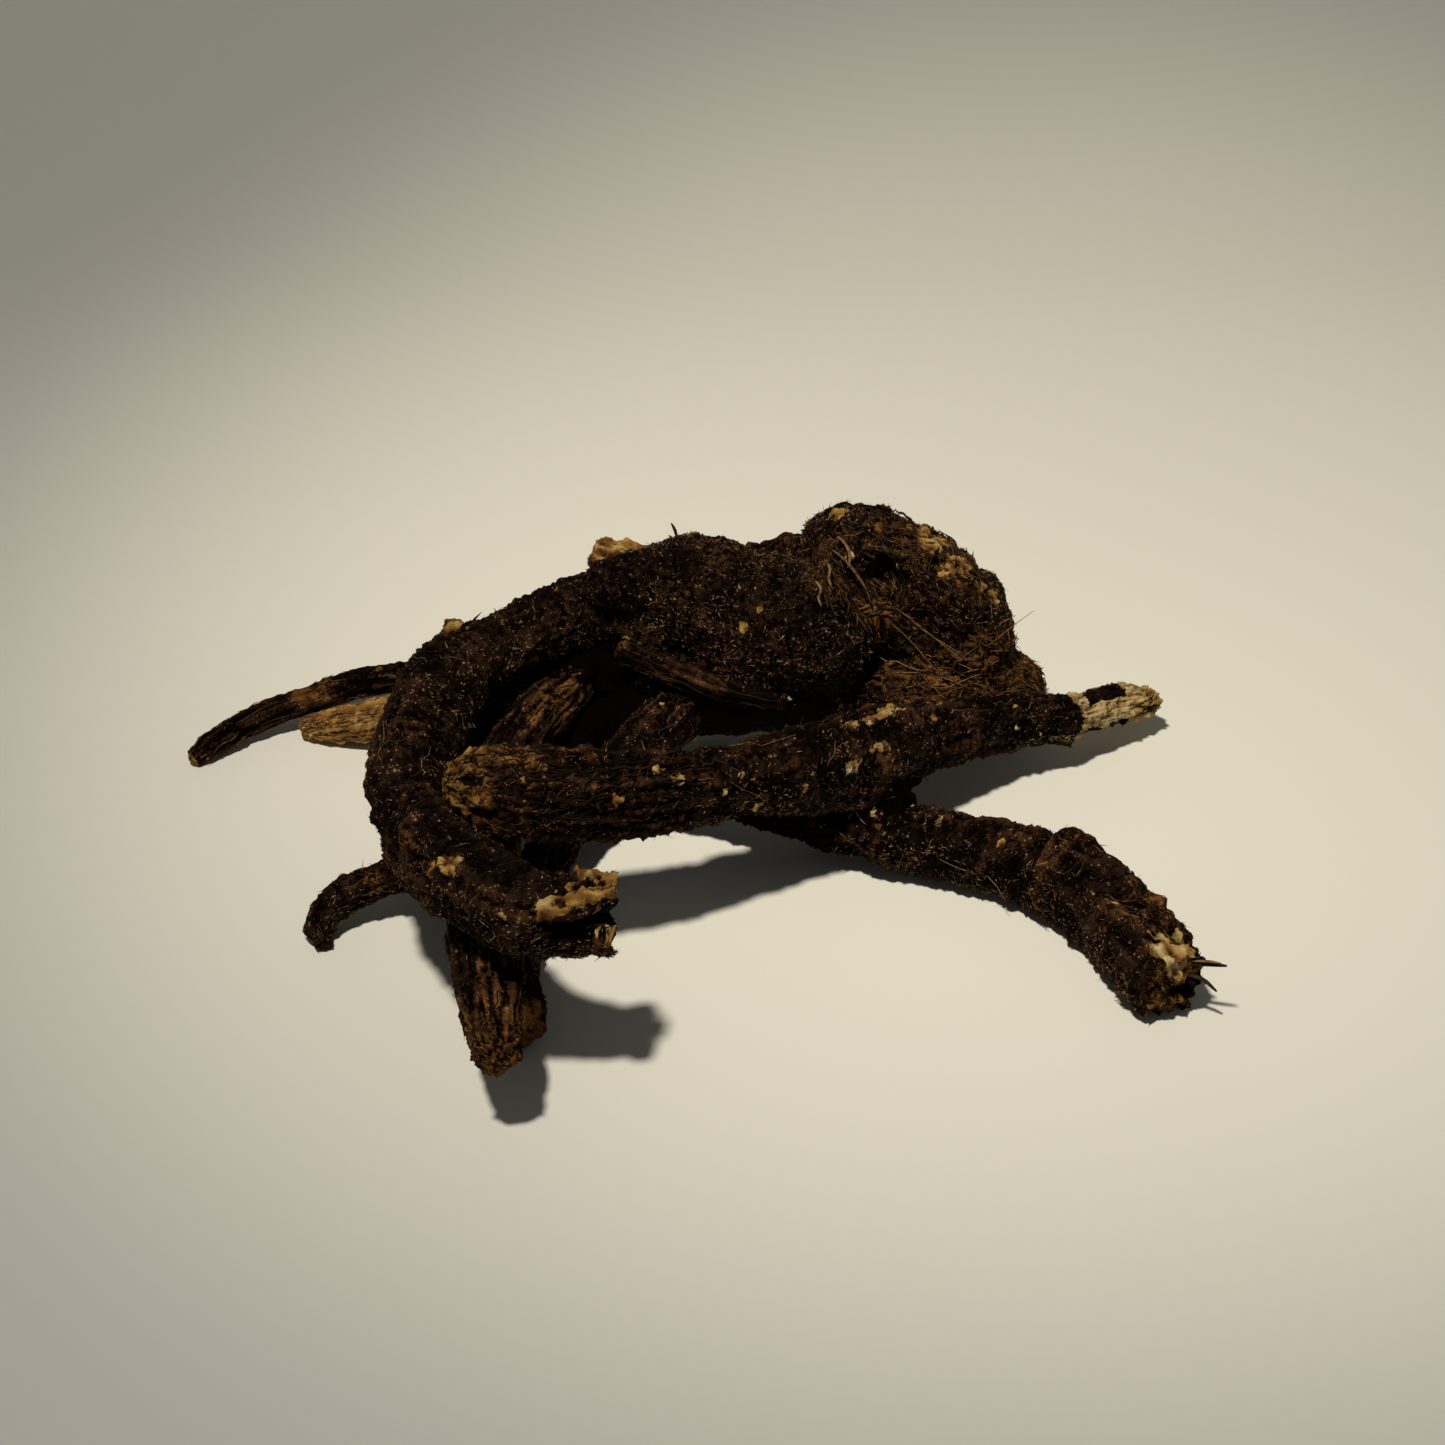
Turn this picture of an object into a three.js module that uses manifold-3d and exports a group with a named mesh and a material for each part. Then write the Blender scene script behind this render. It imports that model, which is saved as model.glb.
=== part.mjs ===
// Osha root: one dried rootstock, a gnarled crown with the roots that grow from it.
// Millimetres, +Z up, standing on z = 0, with the origin under the middle of its outline.
import * as THREE from "three";
import { mergeVertices } from "three/addons/utils/BufferGeometryUtils.js";
import Module from "manifold-3d";

// Driving dimensions.
const ringSpacing = 3.4; // along a root, between two rings of points
const sideLength = 2.1; // across a root's skin, between two points of a ring
const fewestSides = 8;
const mostSides = 18;
const lumpLength = 7; // along a root, one swelling and one neck
const ringShare = 0.5; // of a lump, what goes all round the root
const ringSlant = 1.3; // how far one side of a ring runs ahead of the other, in radians
const ringDrift = 0.4; // how fast that slant turns round the root, in turns a lump
const sideShare = 0.6; // of a lump, what stands out on two sides and on three
const twoSideDrift = 0.31; // turns a lump
const threeSideDrift = -0.5; // turns a lump
const ballSides = 12; // round a knob or a hollow
const floorDepth = 20; // what is shaved off below the resting plane
const floorWidth = 400;
const centring = [0.65, -0.53, 0]; // from the routes' own origin to the middle of the outline

// Each root is a route of points [x, y, z, radius], from the crown outwards.
// swelling is how far its lumps stand out, as a share of the radius.
const hookRoot = {
  swelling: 0.05,
  route: [
    [-3.5, 36, 17, 5.2],
    [-9, 38.3, 18, 5.4],
    [-15, 37.8, 18.8, 5.2],
    [-21.5, 33.3, 18.8, 4.8],
    [-27.2, 27, 19, 4.8],
    [-31.5, 21, 19.5, 5.5],
    [-34, 12.5, 20, 5.9],
    [-35.4, 1, 20, 5.7],
    [-35.4, -9.5, 20.2, 5.3],
    [-31.9, -20.8, 21.2, 5.1],
    [-26.5, -30.3, 23, 5.5],
    [-20, -38, 24.2, 5.6],
    [-13, -40.3, 24.4, 5.1],
    [-6.8, -40, 24.2, 4.9],
  ],
};

const crossRoot = {
  swelling: 0.05,
  route: [
    [-28.6, -17, 27.4, 2.6],
    [-27, -17, 27.2, 4],
    [-24, -16.8, 26.6, 5.2],
    [-18.5, -16.2, 25.3, 5.7],
    [-9.5, -14.5, 23.5, 5.8],
    [1, -10.5, 21.5, 5.2],
    [10, -5.5, 19.5, 4.9],
    [18.5, 0.5, 17, 6.1],
    [27, 6.5, 14.5, 6.5],
    [35.5, 15, 12, 5],
    [47, 22, 9.5, 4.1],
    [56.5, 25.5, 8, 3.6],
    [64.5, 30.5, 6.5, 3.5],
    [71, 33.5, 5.5, 2.4],
  ],
};

const forkRoot = {
  swelling: 0.04,
  route: [
    [24.5, 4.5, 14.5, 5.8],
    [28, 3.5, 12, 4.3],
    [30.5, 2, 8, 3.6],
  ],
};

const frontRoot = {
  swelling: 0.05,
  route: [
    [-9.5, 7, 8.5, 3.4],
    [2, 4, 8.5, 4],
    [12, 3.5, 8.2, 4.1],
    [21.5, 2.6, 7, 4.3],
    [31.5, -0.6, 6, 4.7],
    [41, -3.3, 5.5, 4.8],
    [50, -7.5, 5.4, 5.5],
    [56.2, -13, 5.4, 5.9],
    [61, -21.3, 5.4, 5.8],
    [64.6, -31.3, 5.3, 5.3],
  ],
};

const leftLegRoot = {
  swelling: 0.05,
  route: [
    [-4.5, 34, 11, 4.5],
    [-12.5, 32, 11, 4.5],
    [-17.5, 25, 11.2, 4.6],
    [-21, 17, 11.5, 4.5],
    [-24.5, 5, 11.5, 4.6],
    [-25.8, -11.5, 11.5, 4.7],
    [-24.2, -27, 12, 4.9],
    [-22.6, -40, 12.6, 4.3],
    [-20.8, -52.5, 13, 3],
  ],
};

const rightLegRoot = {
  swelling: 0.05,
  route: [
    [9, 31, 9, 4.2],
    [1.5, 28.5, 9, 4.2],
    [-3, 21, 9, 4],
    [-8, 12, 8.5, 3.9],
    [-15, 1.5, 7, 3.5],
    [-19, -9, 5, 3.3],
    [-21.8, -22, 3.4, 3.2],
    [-19.4, -38.5, 3.2, 3.4],
  ],
};

const thinRoot = {
  swelling: 0.06,
  route: [
    [-24, 32.5, 17, 2.4],
    [-31, 37, 10.5, 2.3],
    [-41.5, 39.7, 6, 2.2],
    [-49.5, 39.2, 4.8, 2.2],
    [-56.5, 36, 4, 2.1],
    [-64.5, 31.8, 3, 2],
    [-70, 27, 2.2, 1.8],
    [-72.5, 24.5, 1.2, 1.2],
  ],
};

const peeledRoot = {
  swelling: 0.03,
  route: [
    [-14.5, 29.5, 10, 3.7],
    [-25, 28, 8.5, 3.6],
    [-36, 30, 6, 3.5],
    [-46, 30.5, 4, 3.3],
    [-51.5, 31, 2.8, 2.7],
    [-57, 32, 1.2, 1.5],
  ],
};

const curlRoot = {
  swelling: 0.05,
  route: [
    [-26.5, -14.5, 9.5, 2.6],
    [-35.5, -10.5, 7.5, 2.5],
    [-41, -10.5, 5.5, 2.5],
    [-46, -12.5, 4, 2.4],
    [-48, -15.5, 2.3, 2],
    [-47.4, -18.2, 0.9, 1.1],
  ],
};

const backRoot = {
  swelling: 0.04,
  route: [
    [-26.5, 38, 11.5, 2.7],
    [-31.5, 44.5, 8, 2.2],
    [-35.5, 50, 6, 1.7],
  ],
};

// The crown is four swollen stems that grow into one another.
const crownHub = {
  swelling: 0.08,
  route: [
    [-3.5, 31, 10.8, 3.8],
    [2.5, 30, 10, 5.4],
    [11.5, 30, 8.5, 5.7],
    [21, 32, 8.5, 5.4],
    [30.5, 36.5, 9, 5.8],
  ],
};

const crownHump = {
  swelling: 0.07,
  route: [
    [-10, 36, 24, 4.2],
    [-4.5, 37.5, 22.5, 6.3],
    [2.5, 37.5, 21.5, 9],
    [11.5, 35.5, 19.5, 10],
    [19.5, 35, 17.5, 10.6],
    [24, 35.5, 15.5, 8.2],
  ],
};

const crownLobe = {
  swelling: 0.06,
  route: [
    [20.3, 43.5, 26.8, 3.4],
    [22.7, 43.5, 27.6, 5.8],
    [26.5, 43, 26.8, 6.8],
    [31, 42, 23, 8.2],
    [36.5, 41.5, 18.5, 9.3],
    [41.5, 41, 13, 9],
    [43.5, 41, 8.5, 7.6],
  ],
};

const shaggyRoot = {
  swelling: 0.06,
  route: [
    [28, 39.5, 9, 5.8],
    [37, 42.5, 6.4, 6.8],
    [44.5, 42.7, 5.4, 5.6],
    [51, 41.5, 4.2, 4.1],
    [54.8, 41, 3.2, 2.8],
  ],
};

const ridgeRoot = {
  swelling: 0.05,
  route: [
    [-9.5, 29.5, 16.5, 1.7],
    [-4, 28, 14.8, 1.8],
    [2, 26.5, 12.6, 1.9],
    [8, 25.5, 10.2, 2],
    [15, 26.5, 8.5, 1.8],
  ],
};

const cutStem = {
  swelling: 0.03,
  route: [
    [-3, 40, 23, 3.9],
    [-7, 42, 24.3, 2.8],
    [-12.8, 43.5, 25, 2.7],
  ],
};

const backStem = {
  swelling: 0.05,
  route: [
    [22, 47.5, 21.5, 5],
    [15.5, 50.5, 20, 3.6],
    [9, 50, 18.3, 2.4],
  ],
};

// Round knobs on the crown, [x, y, z, radius].
const knobs = [
  [1.5, 40, 26, 4],
  [6, 38.5, 24.3, 5.4],
  [14, 38.5, 24, 5.6],
  [28.5, 46.5, 22.5, 7],
  [44.2, 44, 15, 6],
  [36.5, 37.5, 21, 5.6],
];

// Round hollows in the crown, [x, y, z, radius].
const pits = [
  [29.5, 34.5, 26.5, 3.4],
  [31, 30.5, 15.5, 2.6],
];

const wasm = await Module();
wasm.setup();

// How far the skin stands out at a distance along a root and an angle round it, as a factor.
function lump(distance, angle, swelling) {
  const turn = (2 * Math.PI * distance) / lumpLength;
  const ring = Math.sin(turn + ringSlant * Math.sin(angle + ringDrift * turn));
  const twoSides = Math.sin(2 * angle + twoSideDrift * turn);
  const threeSides = sideShare * Math.sin(3 * angle + threeSideDrift * turn);
  return 1 + swelling * (ringShare * ring + sideShare * (twoSides + threeSides));
}

// A geometry's closed surface as a solid that can be joined and cut.
function solidOf(geometry) {
  geometry.deleteAttribute("normal");
  geometry.deleteAttribute("uv");
  const merged = mergeVertices(geometry, 1e-4);
  return new wasm.Manifold(
    new wasm.Mesh({
      numProp: 3,
      vertProperties: merged.attributes.position.array,
      triVerts: new Uint32Array(merged.index.array),
    }),
  );
}

// A root: a cylinder whose rings follow the route, with the route's radii and the lumps.
function rootSolid({ route, swelling }) {
  const path = new THREE.CatmullRomCurve3(
    route.map(([x, y, z]) => new THREE.Vector3(x, y, z)),
    false,
    "catmullrom",
  );
  const radii = new THREE.CatmullRomCurve3(
    route.map((point) => new THREE.Vector3(point[3], 0, 0)),
    false,
    "catmullrom",
  );
  const length = path.getLength();
  const rings = Math.ceil(length / ringSpacing);
  const thickest = Math.max(...route.map((point) => point[3]));
  const wanted = Math.round((2 * Math.PI * thickest) / sideLength);
  const sides = Math.min(mostSides, Math.max(fewestSides, wanted));
  const frames = path.computeFrenetFrames(rings, false);
  const geometry = new THREE.CylinderGeometry(1, 1, 1, sides, rings, false);
  const position = geometry.attributes.position;
  const point = new THREE.Vector3();
  for (let i = 0; i < position.count; i += 1) {
    const [x, along, z] = [position.getX(i), position.getY(i) + 0.5, position.getZ(i)];
    const ring = Math.round(along * rings);
    const radius = radii.getPoint(path.getUtoTmapping(along)).x;
    const reach = radius * lump(along * length, Math.atan2(z, x), swelling);
    point.copy(path.getPointAt(along));
    point.addScaledVector(frames.normals[ring], reach * x);
    point.addScaledVector(frames.binormals[ring], -reach * z);
    position.setXYZ(i, point.x, point.y, point.z);
  }
  return solidOf(geometry);
}

function ballSolid([x, y, z, radius]) {
  const geometry = new THREE.SphereGeometry(radius, ballSides, ballSides / 2);
  geometry.translate(x, y, z);
  return solidOf(geometry);
}

const roots = [
  crownHub,
  crownHump,
  crownLobe,
  cutStem,
  backStem,
  shaggyRoot,
  ridgeRoot,
  hookRoot,
  leftLegRoot,
  rightLegRoot,
  frontRoot,
  crossRoot,
  forkRoot,
  thinRoot,
  peeledRoot,
  curlRoot,
  backRoot,
];

// One grown piece: every root and knob joined, then shaved level where it lies on the ground.
function rootstock() {
  const grown = [...roots.map(rootSolid), ...knobs.map(ballSolid)];
  const joined = grown.reduce((whole, piece) => whole.add(piece));
  const hollowed = pits.map(ballSolid).reduce((whole, pit) => whole.subtract(pit), joined);
  const ground = new THREE.BoxGeometry(floorWidth, floorWidth, floorDepth);
  ground.translate(0, 0, -floorDepth / 2);
  const mesh = hollowed.subtract(solidOf(ground)).getMesh();
  const geometry = new THREE.BufferGeometry();
  geometry.setAttribute("position", new THREE.BufferAttribute(mesh.vertProperties, 3));
  geometry.setIndex(new THREE.BufferAttribute(mesh.triVerts, 1));
  geometry.translate(...centring);
  geometry.computeVertexNormals();
  return geometry;
}

const bark = new THREE.MeshStandardMaterial({
  color: 0x3a2618,
  roughness: 0.92,
  metalness: 0,
});

const rootMesh = new THREE.Mesh(rootstock(), bark);
rootMesh.name = "osha_root";

const group = new THREE.Group();
group.add(rootMesh);

export default group;
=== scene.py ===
import math

import bpy
import numpy as np
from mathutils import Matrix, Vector


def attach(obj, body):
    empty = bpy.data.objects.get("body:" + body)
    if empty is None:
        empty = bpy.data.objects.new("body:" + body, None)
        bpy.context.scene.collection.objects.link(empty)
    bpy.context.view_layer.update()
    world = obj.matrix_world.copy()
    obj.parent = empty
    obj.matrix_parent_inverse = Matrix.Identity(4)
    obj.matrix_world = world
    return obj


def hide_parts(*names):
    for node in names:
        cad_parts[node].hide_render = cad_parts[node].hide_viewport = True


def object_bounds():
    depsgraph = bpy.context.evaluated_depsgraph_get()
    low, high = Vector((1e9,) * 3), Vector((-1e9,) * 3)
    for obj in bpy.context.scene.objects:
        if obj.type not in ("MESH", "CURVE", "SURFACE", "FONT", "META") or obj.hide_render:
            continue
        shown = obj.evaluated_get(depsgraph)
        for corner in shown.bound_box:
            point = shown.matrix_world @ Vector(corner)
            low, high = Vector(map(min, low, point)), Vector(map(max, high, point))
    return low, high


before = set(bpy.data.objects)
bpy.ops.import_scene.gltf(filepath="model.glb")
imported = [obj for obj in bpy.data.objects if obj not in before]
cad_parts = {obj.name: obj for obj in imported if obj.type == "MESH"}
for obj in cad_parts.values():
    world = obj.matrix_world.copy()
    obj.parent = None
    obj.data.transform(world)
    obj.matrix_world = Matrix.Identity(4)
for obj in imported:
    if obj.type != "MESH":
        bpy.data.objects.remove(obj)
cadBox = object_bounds()
print("frame loaded")

# Lengths below are in millimetres, in the routes' own place, until meshPiece puts them into metres.
millimetre = 0.001
centring = np.array([0.65, -0.53, 0.0])  # from the routes' own origin to the frame's
floorClearance = 0.02
topAllowance = 0.9  # what bristles may stand above the frame's top
wrap = 2 * math.pi


# Eases from 0 at low to 1 at high, flat at both ends.
def ease(value, low, high):
    share = np.clip((value - low) / (high - low), 0, 1)
    return share * share * (3 - 2 * share)


# Moves a value towards another by a share.
def moveTo(value, target, share):
    return value + (target - value) * share


# Vectors brought to length 1.
def unit(vectors):
    return vectors / np.maximum(np.linalg.norm(vectors, axis=-1, keepdims=True), 1e-9)


noiseSide = 64
noiseTable = np.random.default_rng(3).random((noiseSide, noiseSide, noiseSide, 3)).astype(np.float32)


# A lattice's value between its points: the sum of a cube's eight corners, each times its nearness.
def blendCorners(lattice, cell, part):
    total = 0
    for corner in np.ndindex(2, 2, 2):
        nearness = np.prod(np.where(np.array(corner) == 1, part, 1 - part), axis=-1)
        at = (cell + corner) % lattice.shape
        total = total + nearness * lattice[at[..., 0], at[..., 1], at[..., 2]]
    return total


# Smooth noise, -1 to 1: random values on a lattice of cubes, eased between a cube's eight corners.
def softNoise(points):
    cell = np.floor(points).astype(np.int64)
    part = points - cell
    return 2 * blendCorners(noiseTable[..., 0], cell, part * part * (3 - 2 * part)) - 1


fading = 0.55  # how strong each layer of noise is against the one before


# Several layers of soft noise, each twice as fine and about half as strong as the one before.
def layeredNoise(points, layers):
    strengths = [fading**layer for layer in range(layers)]
    total = sum(softNoise(points * 2**k + 11.3 * k) * strength for k, strength in enumerate(strengths))
    return total / sum(strengths)


# Distance to the nearest of one random point a cube: near 0 in a grain's middle, 0.6 and more between.
def grainNoise(points):
    cell = np.floor(points).astype(np.int64)
    nearest = np.full(points.shape[:-1], 9.0)
    for offset in np.ndindex(3, 3, 3):
        at = cell + np.array(offset) - 1
        wrapped = at % noiseSide
        seed = at + noiseTable[wrapped[..., 0], wrapped[..., 1], wrapped[..., 2]]
        nearest = np.minimum(nearest, np.sum((points - seed) ** 2, axis=-1))
    return np.sqrt(nearest)


# Valleys of a noise: -1 in narrow cracks, up to 1 on the rounded ridges between them.
def cracked(points):
    return 1 - 2 * np.clip(1 - 2.2 * np.abs(layeredNoise(points, 2)), 0, 1)


# Noise places drawn out along a root, with a size round it and a size along it.
def drawnOut(coords, across, along):
    return coords / np.array([across, across, along])


# Noise places drawn out along any direction: fine across the flow and long along it.
def alongFlow(points, flow, across, along):
    return points / across + flow * np.sum(points * flow, -1, keepdims=True) * (1 / along - 1 / across)


curveSamples = 40  # for each point of a route


# A smooth curve through every point (each stretch a cubic whose slope at a point is half the step between
# its neighbours), read off at evenly spaced places. The radius and any other column come along.
def evenCurve(route, spacing):
    knots = np.array(route, float)
    knots = np.vstack([2 * knots[0] - knots[1], knots, 2 * knots[-1] - knots[-2]])
    time = np.linspace(0, len(route) - 1, curveSamples * len(route))
    stretch = np.minimum(time.astype(int), len(route) - 2)
    part = (time - stretch)[:, None]
    a, b, c, d = (knots[stretch + k] for k in range(4))
    bend = (2 * a - 5 * b + 4 * c - d) + part * (3 * b - a - 3 * c + d)
    curve = b + 0.5 * part * ((c - a) + part * bend)
    steps = np.linalg.norm(np.diff(curve[:, :3], axis=0), axis=1)
    along = np.concatenate([[0], np.cumsum(steps)])
    count = max(4, round(along[-1] / spacing))
    even = np.linspace(0, along[-1], count)
    return np.stack([np.interp(even, along, curve[:, k]) for k in range(curve.shape[1])], axis=1), even


# The directions at each point of a curve: ahead, to its right, and up square to both.
def curveFrames(curve):
    ahead = unit(np.gradient(curve[:, :3], axis=0))
    right = unit(np.cross(ahead, [0, 0, 1]))
    return ahead, right, np.cross(right, ahead)


# Triangles of a tube whose rings follow one another, with one more point at each end.
def tubeFaces(rings, sides):
    ring, side = np.meshgrid(np.arange(rings - 1), np.arange(sides), indexing="ij")
    here = ring * sides + side
    beside = ring * sides + (side + 1) % sides
    firstWalls = np.stack([here, beside, beside + sides], -1).reshape(-1, 3)
    otherWalls = np.stack([here, beside + sides, here + sides], -1).reshape(-1, 3)
    turn = np.arange(sides)
    after = (turn + 1) % sides
    last = (rings - 1) * sides
    startFan = np.stack([after, turn, np.full(sides, rings * sides)], -1)
    endFan = np.stack([last + turn, last + after, np.full(sides, rings * sides + 1)], -1)
    return np.concatenate([firstWalls, otherWalls, startFan, endFan])


# Each point's outward direction: the sum of its triangles' normals.
def pointNormals(points, faces):
    a, b, c = points[faces.T]
    normal = np.cross(b - a, c - a)
    total = np.zeros_like(points)
    for k in range(3):
        for axis in range(3):
            total[:, axis] += np.bincount(faces[:, k], normal[:, axis], len(points))
    return unit(total)


# Joins several meshes' points, triangles and shades into one.
def joinMeshes(meshes):
    points, faces, shades = zip(*meshes)
    starts = np.cumsum([0] + [len(part) for part in points[:-1]])
    faces = [part + start for part, start in zip(faces, starts)]
    return np.concatenate(points), np.concatenate(faces), np.concatenate(shades)


# Makes an object of its data and links it to the scene.
def placeObject(name, data):
    made = bpy.data.objects.new(name, data)
    bpy.context.scene.collection.objects.link(made)
    return made


pieces = []


# Puts points and triangles into a mesh, with the skin's four shades as a colour attribute:
# bare wood, warmth, height of the fine relief, and streaks.
def meshPiece(name, points, faces, shades, material, slotName, smooth=True):
    mesh = bpy.data.meshes.new(name)
    placed = (points + centring) * millimetre
    lowest, highest = floorClearance * millimetre, cadBox[1].z + topAllowance * millimetre
    placed[:, 2] = np.clip(placed[:, 2], lowest, highest)
    mesh.vertices.add(len(placed))
    mesh.vertices.foreach_set("co", placed.ravel())
    mesh.loops.add(faces.size)
    mesh.loops.foreach_set("vertex_index", faces.ravel().astype(np.int32))
    mesh.polygons.add(len(faces))
    mesh.polygons.foreach_set("loop_start", np.arange(0, faces.size, 3, dtype=np.int32))
    mesh.polygons.foreach_set("use_smooth", np.full(len(faces), smooth))
    mesh.update(calc_edges=True)
    colours = mesh.color_attributes.new("shades", "FLOAT_COLOR", "POINT")
    colours.data.foreach_set("color", shades.astype(np.float32).ravel())
    mesh.materials.append(material)
    piece = placeObject(name, mesh)
    pieces.append(piece)
    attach(piece, "root")
    print(f"{name}: {len(faces)} triangles")
    return piece


# The shortest turn from one angle, in degrees, to others in radians.
def turnFrom(degrees, angle):
    return (angle - math.radians(degrees) + math.pi) % wrap - math.pi


# How far a patch covers the skin, 0 to 1: a slanted box in share of the length and angle, torn all round.
def patchCover(patch, share, angle, coords):
    start, end = patch["from"], patch["to"]
    turned = turnFrom(patch["middle"], angle)
    turned = turned - math.radians(patch["slant"]) * (share - start) / (end - start)
    across = np.abs(turned) / math.radians(patch["half"])
    along = np.abs(share - (start + end) / 2) / ((end - start) / 2)
    torn = patch["ragged"] * layeredNoise(coords / 2.2, 3)
    return ease(1 - np.maximum(across, along) + torn, -0.06, 0.06)


# What all skins share: sizes in millimetres of the small forms, and how strongly warmth varies.
skinPlan = {
    "knobSize": 2.4,
    "crumbFineness": 1.9,  # how much finer crumbs are than grains
    "wrinkleStretch": 8,  # how much longer wrinkles are than wide
    "ringWidth": 4,
    "fibre": [0.6, 6],  # across and along, as in the next two
    "streak": [0.5, 7],
    "rope": [1.1, 12],
    "woodDepths": [0.2, 0.35, 0.25],  # of the fibres, crumbs and chips in bare wood
    "woodHeights": [0.4, 0.5, 0.6],  # the same three in the height shade
    "warmthVaries": 0.45,
    "chipHoles": [-0.1, -0.35],  # between these levels of chips, bare wood gives way to holes
    "tearReach": 2,  # how far from its end a root is torn
    "tearSize": 1.2,
    "faceSize": 1.5,  # of the torn places on an end's face
    "faceLevels": [-0.8, -0.1],
    "bareEnd": 0.3,  # the share of an end over which its bare wood comes in, then its warmth
    "warmEnd": 0.2,
    "spotEdge": 0.4,
    "spotHoles": 0.8,
    "spotChips": 0.6,  # how much chips cool a spot
    "spotSize": 0.9,  # of the ragged places on its edge
    "scatteredLeast": [0, 0, 0.2, 0.4],  # share, angle, radius and warmth of the spots that chance places
    "scatteredRange": [1, 360, 0.4, 0.6],
}


# A skin's shades in one array: bare wood, warmth, height and streaks. Where warmth is below 0, the height
# falls to nothing, which makes the skin black: painted shade, for places in deep shadow.
def skinShades(bare, warm, height, streak):
    height = height * ease(warm, -0.3, 0)
    return np.stack([bare, np.clip(warm, 0, 1), np.clip(height, 0, 1), 0.5 + 0.5 * streak], -1)


# How far places on a root lie from a spot or knot on it, in that one's own radii.
def spotReach(spot, share, length, angle, girthRadius):
    spotShare, spotAngle, spotRadius = spot[:3]
    return np.hypot((share - spotShare) * length, turnFrom(spotAngle, angle) * girthRadius) / spotRadius


# Lays one spot of bare wood: how far it covers the skin, 0 to 1, and the bare wood and warmth with it.
def laySpot(nearness, spotWarmth, bare, warm, chips, holes):
    cover = ease(nearness, 0, skinPlan["spotEdge"])
    bare = np.maximum(bare, cover * (1 - skinPlan["spotHoles"] * holes))
    return cover, bare, moveTo(warm, spotWarmth - skinPlan["spotChips"] * chips, cover)


# The relief of bare wood: its fibres, crumbs and chips, each times its own depth.
def woodRelief(depths, fibrous, crumb, chips):
    return depths[0] * fibrous + depths[1] * crumb + depths[2] * chips


# The rings of a tube with its two caps: each ring's point on the curve, how narrow it is, how far it is
# pushed along the curve, and how near it is to the start's pole (-1) or the finish's (1).
def capRings(plan, curvePoints, capCount):
    shares = np.arange(1, capCount) / capCount
    ring = np.clip(np.arange(1 - capCount, curvePoints + capCount - 1), 0, curvePoints - 1)
    narrow = np.ones(len(ring))
    outward = np.zeros(len(ring))
    ends = np.zeros(len(ring))
    last = len(ring) - capCount + 1
    for end, share, first, sign in (("start", shares[::-1], 0, -1), ("finish", shares, last, 1)):
        place = slice(first, first + capCount - 1)
        roundness = plan[end]["roundness"]
        narrow[place] = (1 - roundness) * (1 - share) + roundness * np.cos(share * math.pi / 2)
        outward[place] = sign * plan[end]["bulge"] * np.sin(share * math.pi / 2)
        ends[place] = sign * share
    return ring, narrow, outward, ends


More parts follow.
